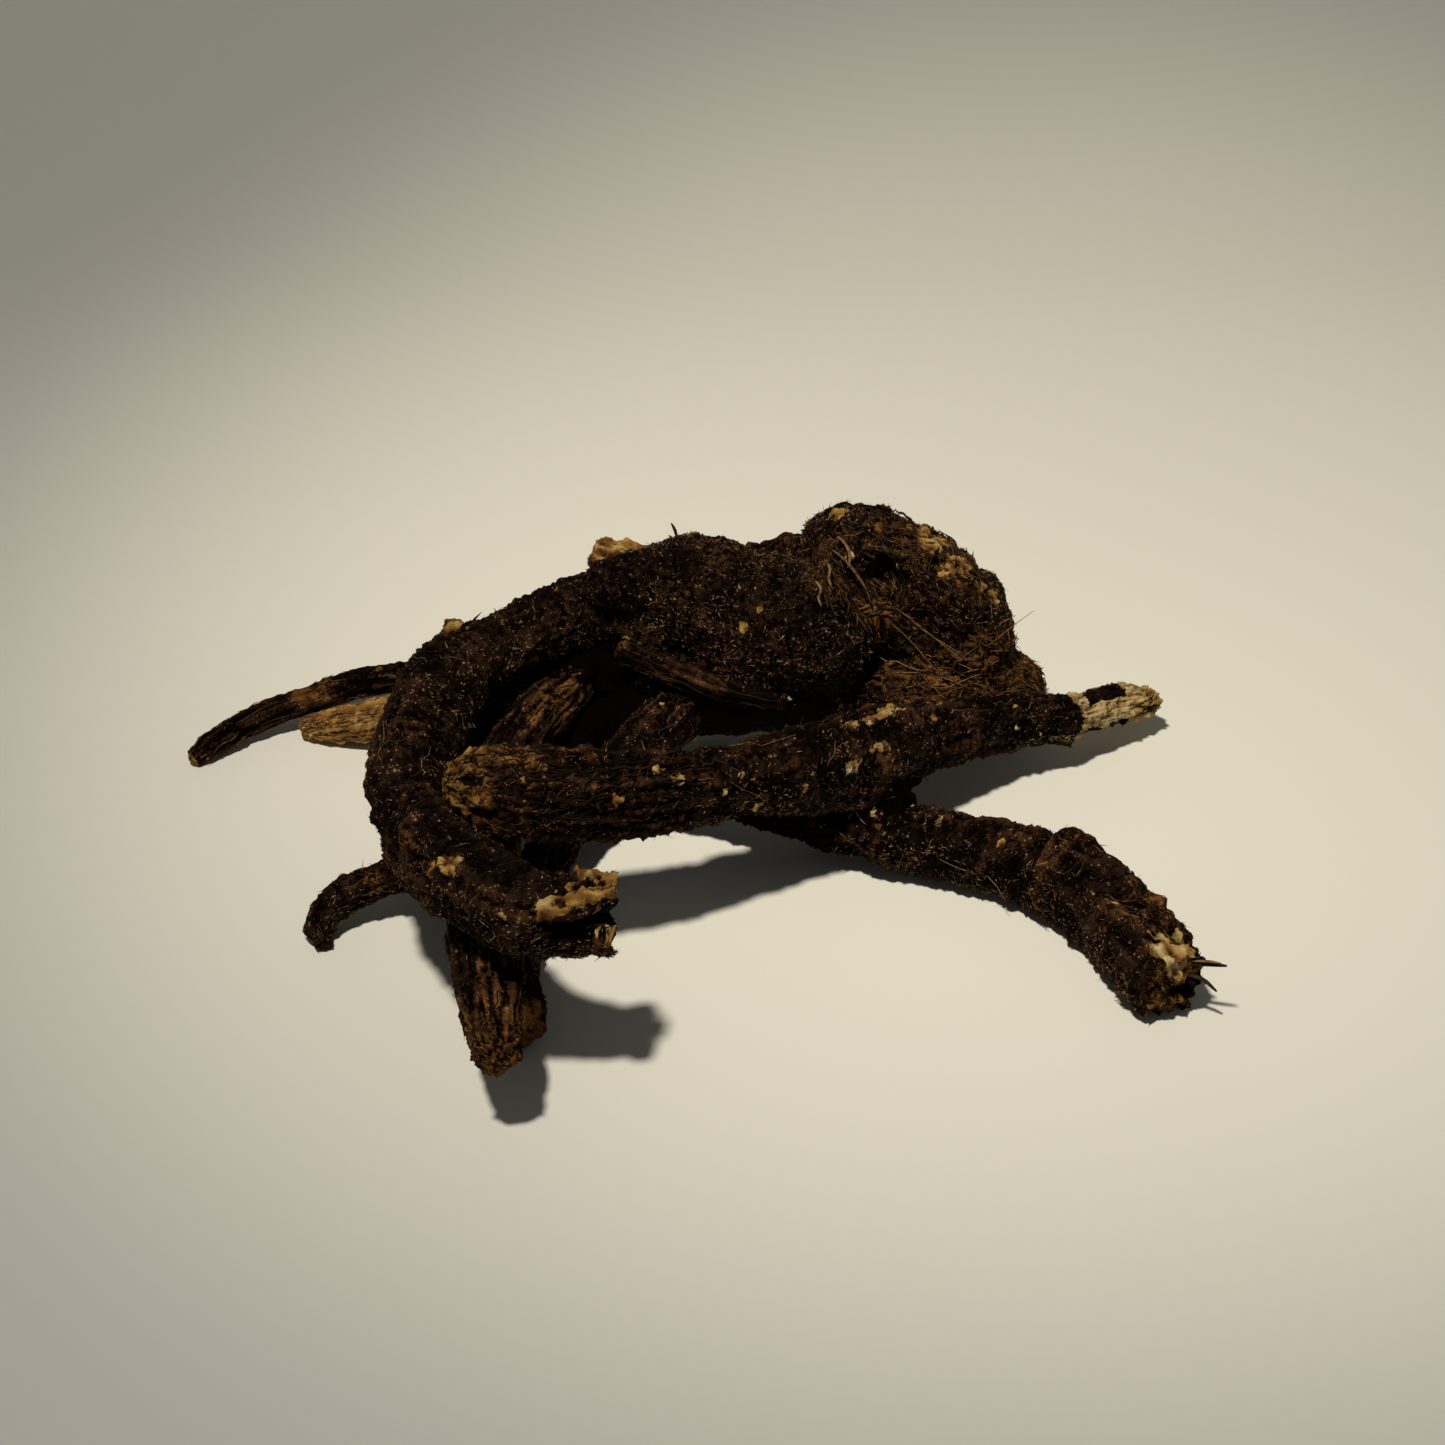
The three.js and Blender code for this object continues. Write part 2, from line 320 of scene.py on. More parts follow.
# A root's skin: rings along its route, with the route's radii, that swell and neck, crack lengthwise and
# across and carry a crust of grains, less the bark that is torn away. A few more rings close each end.
def rootSkin(plan):
    curve, along = evenCurve(plan["route"], plan["spacing"])
    length = along[-1]
    thickest = curve[:, 3].max()
    mean = curve[:, 3].mean()
    sides = round(wrap * thickest / plan["spacing"])
    ahead, right, up = curveFrames(curve)
    capCount = max(3, round(0.8 * thickest / plan["spacing"]))
    ring, narrow, outward, ends = capRings(plan, len(curve), capCount)
    angle, distance = np.meshgrid(np.arange(sides) / sides * wrap, along[ring])
    share = distance / length
    radius = curve[ring, 3][:, None] * narrow[:, None]
    girth = mean * narrow[:, None]
    coords = [girth * np.cos(angle), girth * np.sin(angle), distance + 3 * outward[:, None]]
    coords = np.stack(coords, -1) + plan["seed"]

    # Relief of the bark.
    lump = layeredNoise(coords / plan["lumpSize"], 2)
    knobbly = layeredNoise(coords / skinPlan["knobSize"], 2)
    wrinkleLength = plan["wrinkleSize"] * skinPlan["wrinkleStretch"]
    wrinkle = cracked(drawnOut(coords, plan["wrinkleSize"], wrinkleLength))
    crossing = cracked(drawnOut(coords, skinPlan["ringWidth"], plan["ringSize"]))
    grain = 0.5 - grainNoise(coords / plan["grainSize"])
    crumb = layeredNoise(coords / plan["grainSize"] * skinPlan["crumbFineness"], 2)
    rough = plan["wrinkleDepth"] * wrinkle + plan["ringDepth"] * crossing
    rough = rough + plan["grainDepth"] * (grain + crumb)
    deepest = plan["wrinkleDepth"] + plan["ringDepth"] + plan["grainDepth"]

    # Torn ends, patches, spots and knots.
    chips = layeredNoise(coords / plan["chipSize"] + 30, 3)
    holes = ease(chips, *skinPlan["chipHoles"])
    warm = plan["warm"] + skinPlan["warmthVaries"] * layeredNoise(coords / plan["warmSize"], 2)
    bare, sunk, ropy = np.zeros((3, *share.shape))
    tornFace = ease(layeredNoise(coords / skinPlan["faceSize"] + 9, 3), *skinPlan["faceLevels"])
    for end, sign in (("start", -1), ("finish", 1)):
        onEnd = ease(sign * ends, 0, skinPlan["bareEnd"])[:, None] * plan[end]["bare"] * tornFace
        bare = np.maximum(bare, onEnd)
        warm = moveTo(warm, plan[end]["warm"], ease(sign * ends, 0, skinPlan["warmEnd"])[:, None])
    for patch in plan["patches"]:
        cover = patchCover(patch, share, angle, coords)
        bare = moveTo(bare, patch["bare"] * (1 - min(patch["rough"], 1) * holes), cover)
        warm = moveTo(warm, patch["warm"] - 0.7 * patch["rough"] * chips, cover)
        ropy = moveTo(ropy, patch["ropy"], cover)
        sunk = sunk + cover * (patch["depth"] - patch["rough"] * chips)
    uneven = 0.9 * layeredNoise(coords / skinPlan["spotSize"], 3)
    chance = np.random.default_rng(plan["seed"])
    scattered = chance.random((plan["scattered"], 4))
    scattered = scattered * skinPlan["scatteredRange"] + skinPlan["scatteredLeast"]
    for spot in [*plan["spots"], *scattered]:
        nearness = 1 - spotReach(spot, share, length, angle, mean) + uneven
        cover, bare, warm = laySpot(nearness, spot[3], bare, warm, chips, holes)
        sunk = sunk - cover * (0.2 + 0.5 * chips)
    for knot in plan["knots"]:
        sunk = sunk - knot[3] * np.exp(-2 * spotReach(knot, share, length, angle, mean) ** 2)

    # All of it as the skin's distance from the route, and the points that this gives.
    fibrous = cracked(drawnOut(coords, *skinPlan["fibre"]))
    rough = rough + ropy * cracked(drawnOut(coords, *skinPlan["rope"]))
    deepest = deepest + ropy
    fine = rough * (1 - bare) + bare * woodRelief(skinPlan["woodDepths"], fibrous, crumb, chips)
    relief = (plan["knobbly"] * knobbly + fine - sunk) * narrow[:, None]
    reach = np.maximum(radius * (1 + plan["lumps"] * lump) + relief, 0.25 * radius)
    face = np.stack([reach * np.cos(angle), reach * np.sin(angle), np.zeros(angle.shape)], -1)
    tornEnd = layeredNoise(face / skinPlan["tearSize"] + plan["seed"] + 5, 3)
    startTear = plan["start"]["tear"] * (1 - ease(share * length, 0, skinPlan["tearReach"]))
    finishTear = plan["finish"]["tear"] * (1 - ease((1 - share) * length, 0, skinPlan["tearReach"]))
    push = outward[:, None] + tornEnd * (finishTear - startTear)
    aim = right[ring][:, None] * np.cos(angle)[..., None] + up[ring][:, None] * np.sin(angle)[..., None]
    points = curve[ring, :3][:, None] + aim * reach[..., None] + ahead[ring][:, None] * push[..., None]

    # The height shade: low in the cracks, where the bark material paints shade.
    woodHeight = woodRelief(skinPlan["woodHeights"], fibrous, crumb, chips)
    height = 0.5 + 0.5 * (rough / deepest * (1 - bare) + bare * woodHeight + 0.25 * knobbly)
    streak = layeredNoise(drawnOut(coords, *skinPlan["streak"]), 2)
    shades = skinShades(bare, warm, height, streak)
    poles = np.stack([points[0].mean(0), points[-1].mean(0)])
    poleShades = np.stack([shades[0].mean(0), shades[-1].mean(0)])
    uncapped = slice(capCount - 1, len(ring) - capCount + 1)
    return {
        "points": np.concatenate([points.reshape(-1, 3), poles]),
        "faces": tubeFaces(len(ring), sides),
        "shades": np.concatenate([shades.reshape(-1, 4), poleShades]),
        "flow": np.concatenate([np.repeat(ahead[ring], sides, axis=0), ahead[[0, -1]]]),
        "length": length,
        "grid": points[uncapped],
        "aim": aim[uncapped],
    }


# A closed surface where the field crosses zero: one point in each lattice cube that it crosses, at the
# mean of its edges' crossings, and one four-sided face round each lattice edge that it crosses.
def netSurface(field, low, step):
    cells = np.array(field.shape) - 1
    corners = {}
    for corner in np.ndindex(2, 2, 2):
        corners[corner] = field[tuple(slice(c, c + n) for c, n in zip(corner, cells))]
    insides = sum((value < 0).astype(np.int8) for value in corners.values())
    crossed = (insides > 0) & (insides < 8)
    index = np.full(cells, -1)
    index[crossed] = np.arange(crossed.sum())
    cell = np.argwhere(crossed).astype(float)
    total = np.zeros_like(cell)
    count = np.zeros(len(cell))
    for corner in np.ndindex(2, 2, 2):
        for axis in range(3):
            if corner[axis] == 0:
                other = tuple(c + (k == axis) for k, c in enumerate(corner))
                a, b = corners[corner][crossed], corners[other][crossed]
                cut = (a < 0) != (b < 0)
                part = np.where(cut, a / np.where(cut, a - b, 1), 0)
                spot = np.array(corner) + part[:, None] * np.eye(3)[axis]
                total += np.where(cut[:, None], spot, 0)
                count += cut
    points = low + (cell + total / count[:, None]) * step
    faces = []
    for axis in range(3):
        first, second = (axis + 1) % 3, (axis + 2) % 3
        start = [slice(1, -1)] * 3
        start[axis] = slice(0, -1)
        ahead = list(start)
        ahead[axis] = slice(1, None)
        a, b = field[tuple(start)], field[tuple(ahead)]
        cut = np.argwhere((a < 0) != (b < 0))
        edge = cut.copy()
        edge[:, [first, second]] += 1
        around = []
        for stepFirst, stepSecond in ((0, 0), (-1, 0), (-1, -1), (0, -1)):
            near = edge.copy()
            near[:, first] += stepFirst
            near[:, second] += stepSecond
            around.append(index[tuple(near.T)])
        square = np.stack(around, -1)
        entering = a[tuple(cut.T)] < 0
        square = np.where(entering[:, None], square, square[:, ::-1])
        faces += [square[:, [0, 1, 2]], square[:, [0, 2, 3]]]
    return points, np.concatenate(faces)


# Distance from each lattice place to a chain of balls along a curve: the least of the balls' distances.
def chainField(places, curve):
    field = np.full(places.shape[:-1], 99.0, np.float32)
    for x, y, z, radius in curve:
        away = np.sqrt((places[..., 0] - x) ** 2 + (places[..., 1] - y) ** 2 + (places[..., 2] - z) ** 2)
        np.minimum(field, away - radius, out=field)
    return field


# The lesser of two fields, with the crease between them filled in over the fillet's width.
def blendFields(a, b, fillet):
    share = np.clip(fillet - np.abs(a - b), 0, None) / fillet
    return np.minimum(a, b) - share * share * fillet / 4


# Reads a lattice field between its places.
def fieldAt(field, low, step, points):
    place = np.clip((points - low) / step, 0, np.array(field.shape) - 1.001)
    cell = place.astype(int)
    return blendCorners(field, cell, place - cell)


# Where slivers grow: in patches, from the thinnest growth to the thickest, and less on the underside. Then
# how each is built.
growthPlan = {
    "patchSize": 4,
    "usual": 0.68,
    "varies": 0.8,
    "thinnest": 0.25,
    "thickest": 1.2,
    "lessBelow": 1.6,
    "lengthVaries": 0.4,
    "widthVaries": 0.3,
    "sunk": 0.1,  # how deep the foot sits in the bark
    "crestPlace": 0.4,  # a share of the length
    "crestHeight": 0.7,  # a share of the width, as the next
    "tipHeight": 0.4,
}


# Slivers that lie on a skin, fewer where it is bare or cold: each a closed three-sided spike, laid over
# towards the root's length by a random turn and lifted by a random slope, with a tone of its own.
def bristlesOn(skin, density, plan, rng):
    faces = skin["faces"]
    a, b, c = skin["points"][faces.T]
    normal = np.cross(b - a, c - a)
    area = np.linalg.norm(normal, axis=1)
    normal = unit(normal)
    bare, warm = skin["shades"][faces[:, 0], :2].T
    patchy = growthPlan["varies"] * layeredNoise(a / growthPlan["patchSize"] + 60, 2)
    patchy = np.clip(growthPlan["usual"] + patchy, growthPlan["thinnest"], growthPlan["thickest"])
    share = np.clip(1 + growthPlan["lessBelow"] * normal[:, 2], 0.1, 1) * (1 - bare) ** 2 * patchy
    # Almost none where the skin is coldest, so that the painted shade stays black.
    share = share * ease(warm, -0.02, 0.2) * (1 + 3 * warm**3)
    weight = area * share
    count = int(density * weight.sum() / 2)
    picked = rng.choice(len(faces), count, p=weight / weight.sum())
    u, v = rng.random((2, count, 1))
    flip = u + v > 1
    u, v = np.where(flip, 1 - u, u), np.where(flip, 1 - v, v)
    foot = a[picked] + u * (b[picked] - a[picked]) + v * (c[picked] - a[picked])
    out = normal[picked]
    across = unit(np.cross(out, skin["flow"][faces[picked, 0]]))
    onward = np.cross(across, out)
    turn = rng.normal(0, plan["spread"], (count, 1)) + math.pi * rng.integers(0, 2, (count, 1))
    lift = np.abs(rng.normal(0, plan["lift"], (count, 1)))
    heading = (onward * np.cos(turn) + across * np.sin(turn)) * np.cos(lift) + out * np.sin(lift)
    sideways = unit(np.cross(heading, out))
    raised = np.cross(sideways, heading)
    long = plan["length"] * rng.lognormal(0, growthPlan["lengthVaries"], (count, 1))
    wide = plan["width"] * rng.lognormal(0, growthPlan["widthVaries"], (count, 1))
    foot = foot - growthPlan["sunk"] * out
    left = foot - sideways * wide / 2
    right = foot + sideways * wide / 2
    crest = foot + raised * wide * growthPlan["crestHeight"] + heading * long * growthPlan["crestPlace"]
    tip = foot + heading * long + (raised - 0.5 * out) * wide * growthPlan["tipHeight"]
    spikes = np.stack([left, right, crest, tip], 1).reshape(-1, 3)
    first = 4 * np.arange(count)[:, None]
    sliver = [first + np.array(face) for face in ((0, 1, 2), (1, 3, 2), (3, 0, 2), (1, 0, 3))]
    tone = plan["palest"] * rng.random(count) ** plan["darkness"] * (0.5 + 0.6 * patchy[picked])
    warm = np.clip(warm[picked] + rng.normal(0, 0.15, count), 0, 1)
    shade = np.stack([tone, warm, np.ones(count), rng.random(count)], -1)
    return spikes, np.concatenate(sliver), np.repeat(shade, 4, axis=0)


# Round strands along many lines at once: a three-sided ring at each point of a line, shrunk at both ends.
def strandTubes(lines, radii, shades):
    strands, knots = lines.shape[:2]
    ahead = unit(np.gradient(lines, axis=1))
    right = unit(np.cross(ahead, [0.13, 0.21, 1]))
    up = np.cross(right, ahead)
    taper = np.sin(np.linspace(0.12, math.pi - 0.12, knots)) ** 0.4
    angle = np.arange(3) / 3 * wrap
    thick = (radii[:, None] * taper)[..., None, None]
    around = np.cos(angle)[:, None] * right[:, :, None] + np.sin(angle)[:, None] * up[:, :, None]
    points = (lines[:, :, None] + thick * around).reshape(strands, knots * 3, 3)
    points = np.concatenate([points, lines[:, :1], lines[:, -1:]], axis=1)
    each = knots * 3 + 2
    faces = (tubeFaces(knots, 3)[None] + each * np.arange(strands)[:, None, None]).reshape(-1, 3)
    return points.reshape(-1, 3), faces, np.repeat(shades, each, axis=0)


fibreKnots = 7  # points along each fibre


# Fibres that run along a root's skin: each starts at a random place between two shares of the length and
# two angles, drifts round the root, waves a little and lifts off the skin towards its ends.
def fibreLines(skin, plan, rng):
    grid, aim = skin["grid"], skin["aim"]
    rings, sides = grid.shape[:2]
    count = plan["count"]
    step = np.linspace(-0.5, 0.5, fibreKnots)
    long = plan["length"] * rng.lognormal(0, 0.4, (count, 1)) / skin["length"] * rings
    ring = rng.uniform(plan["from"], plan["to"], (count, 1)) * rings + step * long
    leastTurn, mostTurn = plan["middle"] - plan["half"], plan["middle"] + plan["half"]
    turn = np.radians(rng.uniform(leastTurn, mostTurn, (count, 1)))
    turn = turn + rng.normal(0, plan["drift"], (count, 1)) * step
    turn = turn + rng.normal(0, 0.06, (count, 1)) * np.sin(step * 9 + rng.uniform(0, wrap, (count, 1)))
    ring = np.clip(ring, 0, rings - 1.001)
    side = (turn / wrap * sides) % sides
    low, around = ring.astype(int), side.astype(int) % sides
    partRing, partSide = (ring - low)[..., None], (side % 1)[..., None]
    after = (around + 1) % sides
    near = grid[low, around] * (1 - partSide) + grid[low, after] * partSide
    far = grid[low + 1, around] * (1 - partSide) + grid[low + 1, after] * partSide
    away = plan["radius"] * 0.6 + np.abs(rng.normal(0, plan["lift"], (count, 1))) * (2 * step) ** 2
    return near * (1 - partRing) + far * partRing + aim[low, around] * away[..., None]


# Fibres that run over the crown: each walks from a random place of a coat along the coat's flow, and
# after each step it is brought back to the same height over the skin.
def crownFibreLines(skin, coat, plan, rng):
    share = coatShare(coat, skin["points"])
    place = skin["points"][rng.choice(len(share), plan["count"], p=share / share.sum())]
    heading = coat["flow"] + rng.normal(0, plan["spread"], (plan["count"], 3))
    lifted = np.abs(rng.normal(0, plan["lift"], (plan["count"], 1)))
    stride = plan["length"] / (fibreKnots - 1) * rng.lognormal(0, 0.25, (plan["count"], 1))
    field, middle = skin["field"], (fibreKnots - 1) / 2
    line = []
    for step in range(fibreKnots):
        slope = [fieldAt(*field, place + d) - fieldAt(*field, place - d) for d in np.eye(3) * 0.4]
        out = unit(np.stack(slope, -1))
        height = fieldAt(*field, place)[:, None] - 0.25 - lifted * abs(step - middle) / middle
        place = place - out * (height - skinSwell(place)[:, None])
        line.append(place)
        place = place + unit(heading - out * np.sum(heading * out, 1, keepdims=True)) * stride
    return np.stack(line, 1)


# Adds a node; each value is a number, a colour, or a socket to link from.
def addNode(tree, kind, settings=None, values=None):
    made = tree.nodes.new(kind)
    for name, value in (settings or {}).items():
        setattr(made, name, value)
    for name, value in (values or {}).items():
        if isinstance(value, bpy.types.NodeSocket):
            tree.links.new(value, made.inputs[name])
        else:
            made.inputs[name].default_value = value
    return made


# Mixes two colours by a factor; each may be a socket or a plain value.
def mixColours(tree, factor, first, second):
    first, second = (c if isinstance(c, bpy.types.NodeSocket) else (*c, 1) for c in (first, second))
    settings = {"data_type": "RGBA", "clamp_factor": True}
    return addNode(tree, "ShaderNodeMix", settings, {0: factor, 6: first, 7: second}).outputs[2]


# Stretches a value's low to high range over 0 to 1.
def stretchValue(tree, value, low, high):
    settings = {"interpolation_type": "SMOOTHSTEP"}
    values = {"Value": value, "From Min": low, "From Max": high}
    return addNode(tree, "ShaderNodeMapRange", settings, values).outputs["Result"]


# Adds up values, each times its own weight, to a start.
def weighValues(tree, *terms, start=0):
    total = start
    for value, weight in terms:
        values = {0: value, 1: weight, 2: total}
        total = addNode(tree, "ShaderNodeMath", {"operation": "MULTIPLY_ADD"}, values).outputs["Value"]
    return total


# A colour that follows a value through several stops.
def colourStops(tree, value, stops):
    ramp = addNode(tree, "ShaderNodeValToRGB", None, {"Fac": value})
    elements = ramp.color_ramp.elements
    for place, colour in stops[1:-1]:
        elements.new(place).color = (*colour, 1)
    for element, (place, colour) in ((elements[0], stops[0]), (elements[-1], stops[-1])):
        element.position = place
        element.color = (*colour, 1)
    return ramp.outputs["Color"]


# A new material with its tree, its shader and the piece's own coordinates.
def startMaterial(name, plan):
    material = bpy.data.materials.new(name)
    material.use_nodes = True
    tree = material.node_tree
    shader = tree.nodes["Principled BSDF"]
    shader.inputs["Roughness"].default_value = plan["roughness"]
    shader.inputs["Specular IOR Level"].default_value = plan["specular"]
    return material, tree, shader, addNode(tree, "ShaderNodeTexCoord").outputs["Object"]


# A noise pattern on a piece's coordinates.
def noiseNode(tree, coords, scale, detail, roughness=0.5):
    values = {"Vector": coords, "Scale": scale, "Detail": detail, "Roughness": roughness}
    return addNode(tree, "ShaderNodeTexNoise", None, values).outputs["Fac"]


# The four shades that meshPiece keeps with a skin, as sockets.
def shadeSockets(tree):
    shades = addNode(tree, "ShaderNodeAttribute", {"attribute_name": "shades"})
    parts = addNode(tree, "ShaderNodeSeparateColor", None, {"Color": shades.outputs["Color"]}).outputs
    return parts["Red"], parts["Green"], parts["Blue"], shades.outputs["Alpha"]


barkPlan = {
    "bark": [
        (0.0, (0.0068, 0.0037, 0.0028)),
        (0.35, (0.019, 0.01, 0.006)),
        (0.65, (0.062, 0.0262, 0.0108)),
        (1.0, (0.22, 0.096, 0.027)),
    ],
    "wood": [
        (0.0, (0.56, 0.44, 0.24)),
        (0.3, (0.43, 0.28, 0.095)),
        (0.6, (0.28, 0.145, 0.036)),
        (1.0, (0.11, 0.042, 0.011)),
    ],
    # Painted shade: near black where the relief is low, in the bark's cracks and wherever warmth below 0
    # has flattened the height, and a darker brown in the bare wood's pits.
    "hollow": (0.0012, 0.0007, 0.0006),
    "hollowDepths": (0.53, 0.81),  # black below the first depth, none above the second
    "woodPaintedShade": (0.03, 0.012, 0.005),
    "woodPaintedShadeDepths": (0.42, 0.74),
    "woodEdge": (1.14, 1.38),
    # Light flecks of the bark, which also stand in for painted glints.
    "fleckAndGlint": (0.3, 0.17, 0.085),
    "fleckCrowd": (1.24, 1.38),
    "blotchScale": 320,
    "fineScale": 2300,
    "fleckScale": 3600,
    "grainRange": (0.35, 1.35),
    "bumpStrength": 0.8,
    "bumpHeight": 0.0002,
    "roughness": 0.88,
    "specular": 0.05,
    "specularTint": (0.6, 0.3, 0.16, 1),
}


# Bark, near black in the cracks with painted shade and brown to orange on the ridges as the skin's warmth
# has it, flecked all over with light flecks that also stand in for painted glints. Where the skin is bare,
# fibrous wood shows through, cream to tan by the same warmth and darker in its pits with painted shade.
def barkMaterial(name, plan):
    material, tree, shader, coords = startMaterial(name, plan)
    bare, warm, height, streak = shadeSockets(tree)
    blotch = noiseNode(tree, coords, plan["blotchScale"], 5, 0.65)
    fine = noiseNode(tree, coords, plan["fineScale"], 3, 0.7)
    fleckAndGlint = addNode(tree, "ShaderNodeTexVoronoi", None, {"Vector": coords, "Scale": plan["fleckScale"]})
    mottled = weighValues(tree, (warm, 1), (blotch, 0.7), (streak, 0.5), start=-0.6)
    bark = colourStops(tree, mottled, plan["bark"])
    # Light flecks, which also stand in for painted glints.
    crowd = weighValues(tree, (fleckAndGlint.outputs["Color"], 1), (blotch, 0.8))
    bark = mixColours(tree, stretchValue(tree, crowd, *plan["fleckCrowd"]), bark, plan["fleckAndGlint"])
    # Painted shade: near black where the relief height is low.
    depth = weighValues(tree, (height, 0.7), (fine, 0.6))
    bark = mixColours(tree, stretchValue(tree, depth, *plan["hollowDepths"]), plan["hollow"], bark)
    grainy = stretchValue(tree, weighValues(tree, (mottled, 1), (fine, 0.7)), *plan["grainRange"])
    wood = colourStops(tree, grainy, plan["wood"])
    # Painted shade: darker wood where the relief height is low.
    wood = mixColours(tree, stretchValue(tree, depth, *plan["woodPaintedShadeDepths"]), plan["woodPaintedShade"], wood)
    edge = weighValues(tree, (bare, 1), (fine, 0.9), (streak, 0.5))
    surface = mixColours(tree, stretchValue(tree, edge, *plan["woodEdge"]), bark, wood)
    tree.links.new(surface, shader.inputs["Base Color"])
    shader.inputs["Specular Tint"].default_value = plan["specularTint"]
    values = {"Strength": plan["bumpStrength"], "Distance": plan["bumpHeight"], "Height": fine}
    bump = addNode(tree, "ShaderNodeBump", None, values)
    tree.links.new(bump.outputs["Normal"], shader.inputs["Normal"])
    return material


strandPlan = {
    "dark": (0.005, 0.0028, 0.002),
    "light": (0.52, 0.33, 0.17),
    "warm": (0.4, 0.175, 0.048),
    "roughness": 0.75,
    "specular": 0.15,
    "specularTint": (0.8, 0.5, 0.3, 1),
}


# Bristles and fibres: each takes its own tone from the first shade, greyer or redder by the second.
def strandMaterial(name, plan):
    material, tree, shader, coords = startMaterial(name, plan)
    tone, warm = shadeSockets(tree)[:2]
    mottle = stretchValue(tree, noiseNode(tree, coords, 1500, 2), 0.2, 0.6)
    light = mixColours(tree, warm, plan["light"], plan["warm"])
    share = addNode(tree, "ShaderNodeMath", {"operation": "MULTIPLY"}, {0: tone, 1: mottle})
    surface = mixColours(tree, share.outputs["Value"], plan["dark"], light)
    tree.links.new(surface, shader.inputs["Base Color"])
    shader.inputs["Specular Tint"].default_value = plan["specularTint"]
    return material


bark = barkMaterial("bark", barkPlan)
strand = strandMaterial("strand", strandPlan)
print("materials made")


# How a root ends: how round it is and how far it bulges, how torn and how bare it is, and its warmth.
def rootEnd(roundness, bulge, tear, bare, warm):
    return {"roundness": roundness, "bulge": bulge, "tear": tear, "bare": bare, "warm": warm}


# A patch's middle, half width and slant in degrees, its depth in millimetres, its bare wood and warmth,
# and how ragged its edge, how rough its face and how ropy its bark is.
plainPatch = {
    "middle": 90,
    "half": 200,
    "slant": 0,
    "depth": 0,
    "bare": 1,
    "warm": 0.4,
    "ragged": 0.5,
    "rough": 0.2,
    "ropy": 0,
}


# A patch between two shares of a root's length, plain apart from what is named.
def skinPatch(start, end, **changes):
    return {**plainPatch, "from": start, "to": end, **changes}


# The usual bark, knobbly and grainy, with its sizes and depths in millimetres.
bristly = {
    "spacing": 0.38,
    "lumps": 0.11,
    "lumpSize": 5,
    "knobbly": 0.6,
    "wrinkleSize": 1.6,
    "wrinkleDepth": 0.2,
    "ringSize": 1.4,
    "ringDepth": 0.2,
    "grainSize": 1.0,
    "grainDepth": 0.42,
    "chipSize": 1.3,
    "warm": 0.3,
    "warmSize": 5,
    "start": rootEnd(1, 2, 0, 0, 0.4),
    "finish": rootEnd(1, 2, 0, 0, 0.4),
    "patches": [],
    "spots": [],
    "knots": [],
    "scattered": 10,
    "slot": "bark",
}

# Bark of the slimmer roots, with deeper and narrower wrinkles along it.
striped = {
    **bristly,
    "lumps": 0.06,
    "knobbly": 0.3,
    "wrinkleSize": 1.1,
    "wrinkleDepth": 0.42,
    "ringDepth": 0.08,
    "grainDepth": 0.16,
    "warm": 0.55,
    "scattered": 4,
}

# Near black bark, painted shade: for short roots put in deep shadow among the others.
paintedShadeBark = {**bristly, "spacing": 0.55, "warm": -0.3, "scattered": 0}

# Each root is a route of points [x, y, z, radius], from the crown outwards. Angles are in degrees round
# the root, seen along it: 0 to its right, 90 on top, 180 to its left. A patch lies between two shares of
# the length, and a spot is [share, angle, radius, warmth], a knot [share, angle, radius, height].
hookRoot = {
    **bristly, "seed": 10, "knobbly": 0.75,
    "route": [
        [-3.5, 36, 17, 5.2], [-9, 38.3, 18, 5.4], [-15, 37.8, 18.8, 5.2], [-21.5, 33.3, 18.8, 4.8],
        [-27.2, 27, 19, 4.8], [-31.5, 21, 19.5, 5.5], [-34, 12.5, 20, 5.9], [-35.4, 1, 20, 5.7],
        [-35.4, -9.5, 20.2, 5.3], [-31.9, -20.8, 21.2, 5.1], [-26.5, -30.3, 23, 5.5], [-20, -38, 24.2, 5.6],
        [-13, -40.3, 24.4, 5.1], [-6.8, -40, 24.2, 4.9],
    ],
    "finish": rootEnd(0.25, -2.2, 1.2, 0, 0.6),
    "patches": [
        skinPatch(0.715, 0.775, middle=45, half=6, bare=0.4, warm=0.75, ragged=1.2),
        skinPatch(0.957, 1.1, middle=-20, half=40, bare=0, warm=0.7),
        # The channel under the torn end: sunk, and painted black with painted shade.
        skinPatch(0.922, 1.1, middle=2, slant=65, half=23, depth=2.6, bare=0, warm=-0.1),
        skinPatch(
            0.962, 1.06, middle=92, half=30, depth=-0.7, bare=0.85, warm=0.75, ragged=0.8, rough=0.65
        ),
        skinPatch(0.928, 1.06, middle=38, slant=85, half=15, depth=-0.7, bare=0.85, warm=0.65, rough=0.75),
        skinPatch(0.983, 1.1, middle=2, half=14, depth=-0.3, warm=0.5, ragged=0.7, rough=0.6),
    ],
    "spots": [[0.802, 34, 1.2, 0.6], [0.827, 56, 1.6, 0.55], [0.902, 30, 0.6, 0.3], [0.02, 180, 1, 0.4]],
    "knots": [[0.973, 95, 1.6, 0.8], [0.992, 62, 1, 0.5]],
}
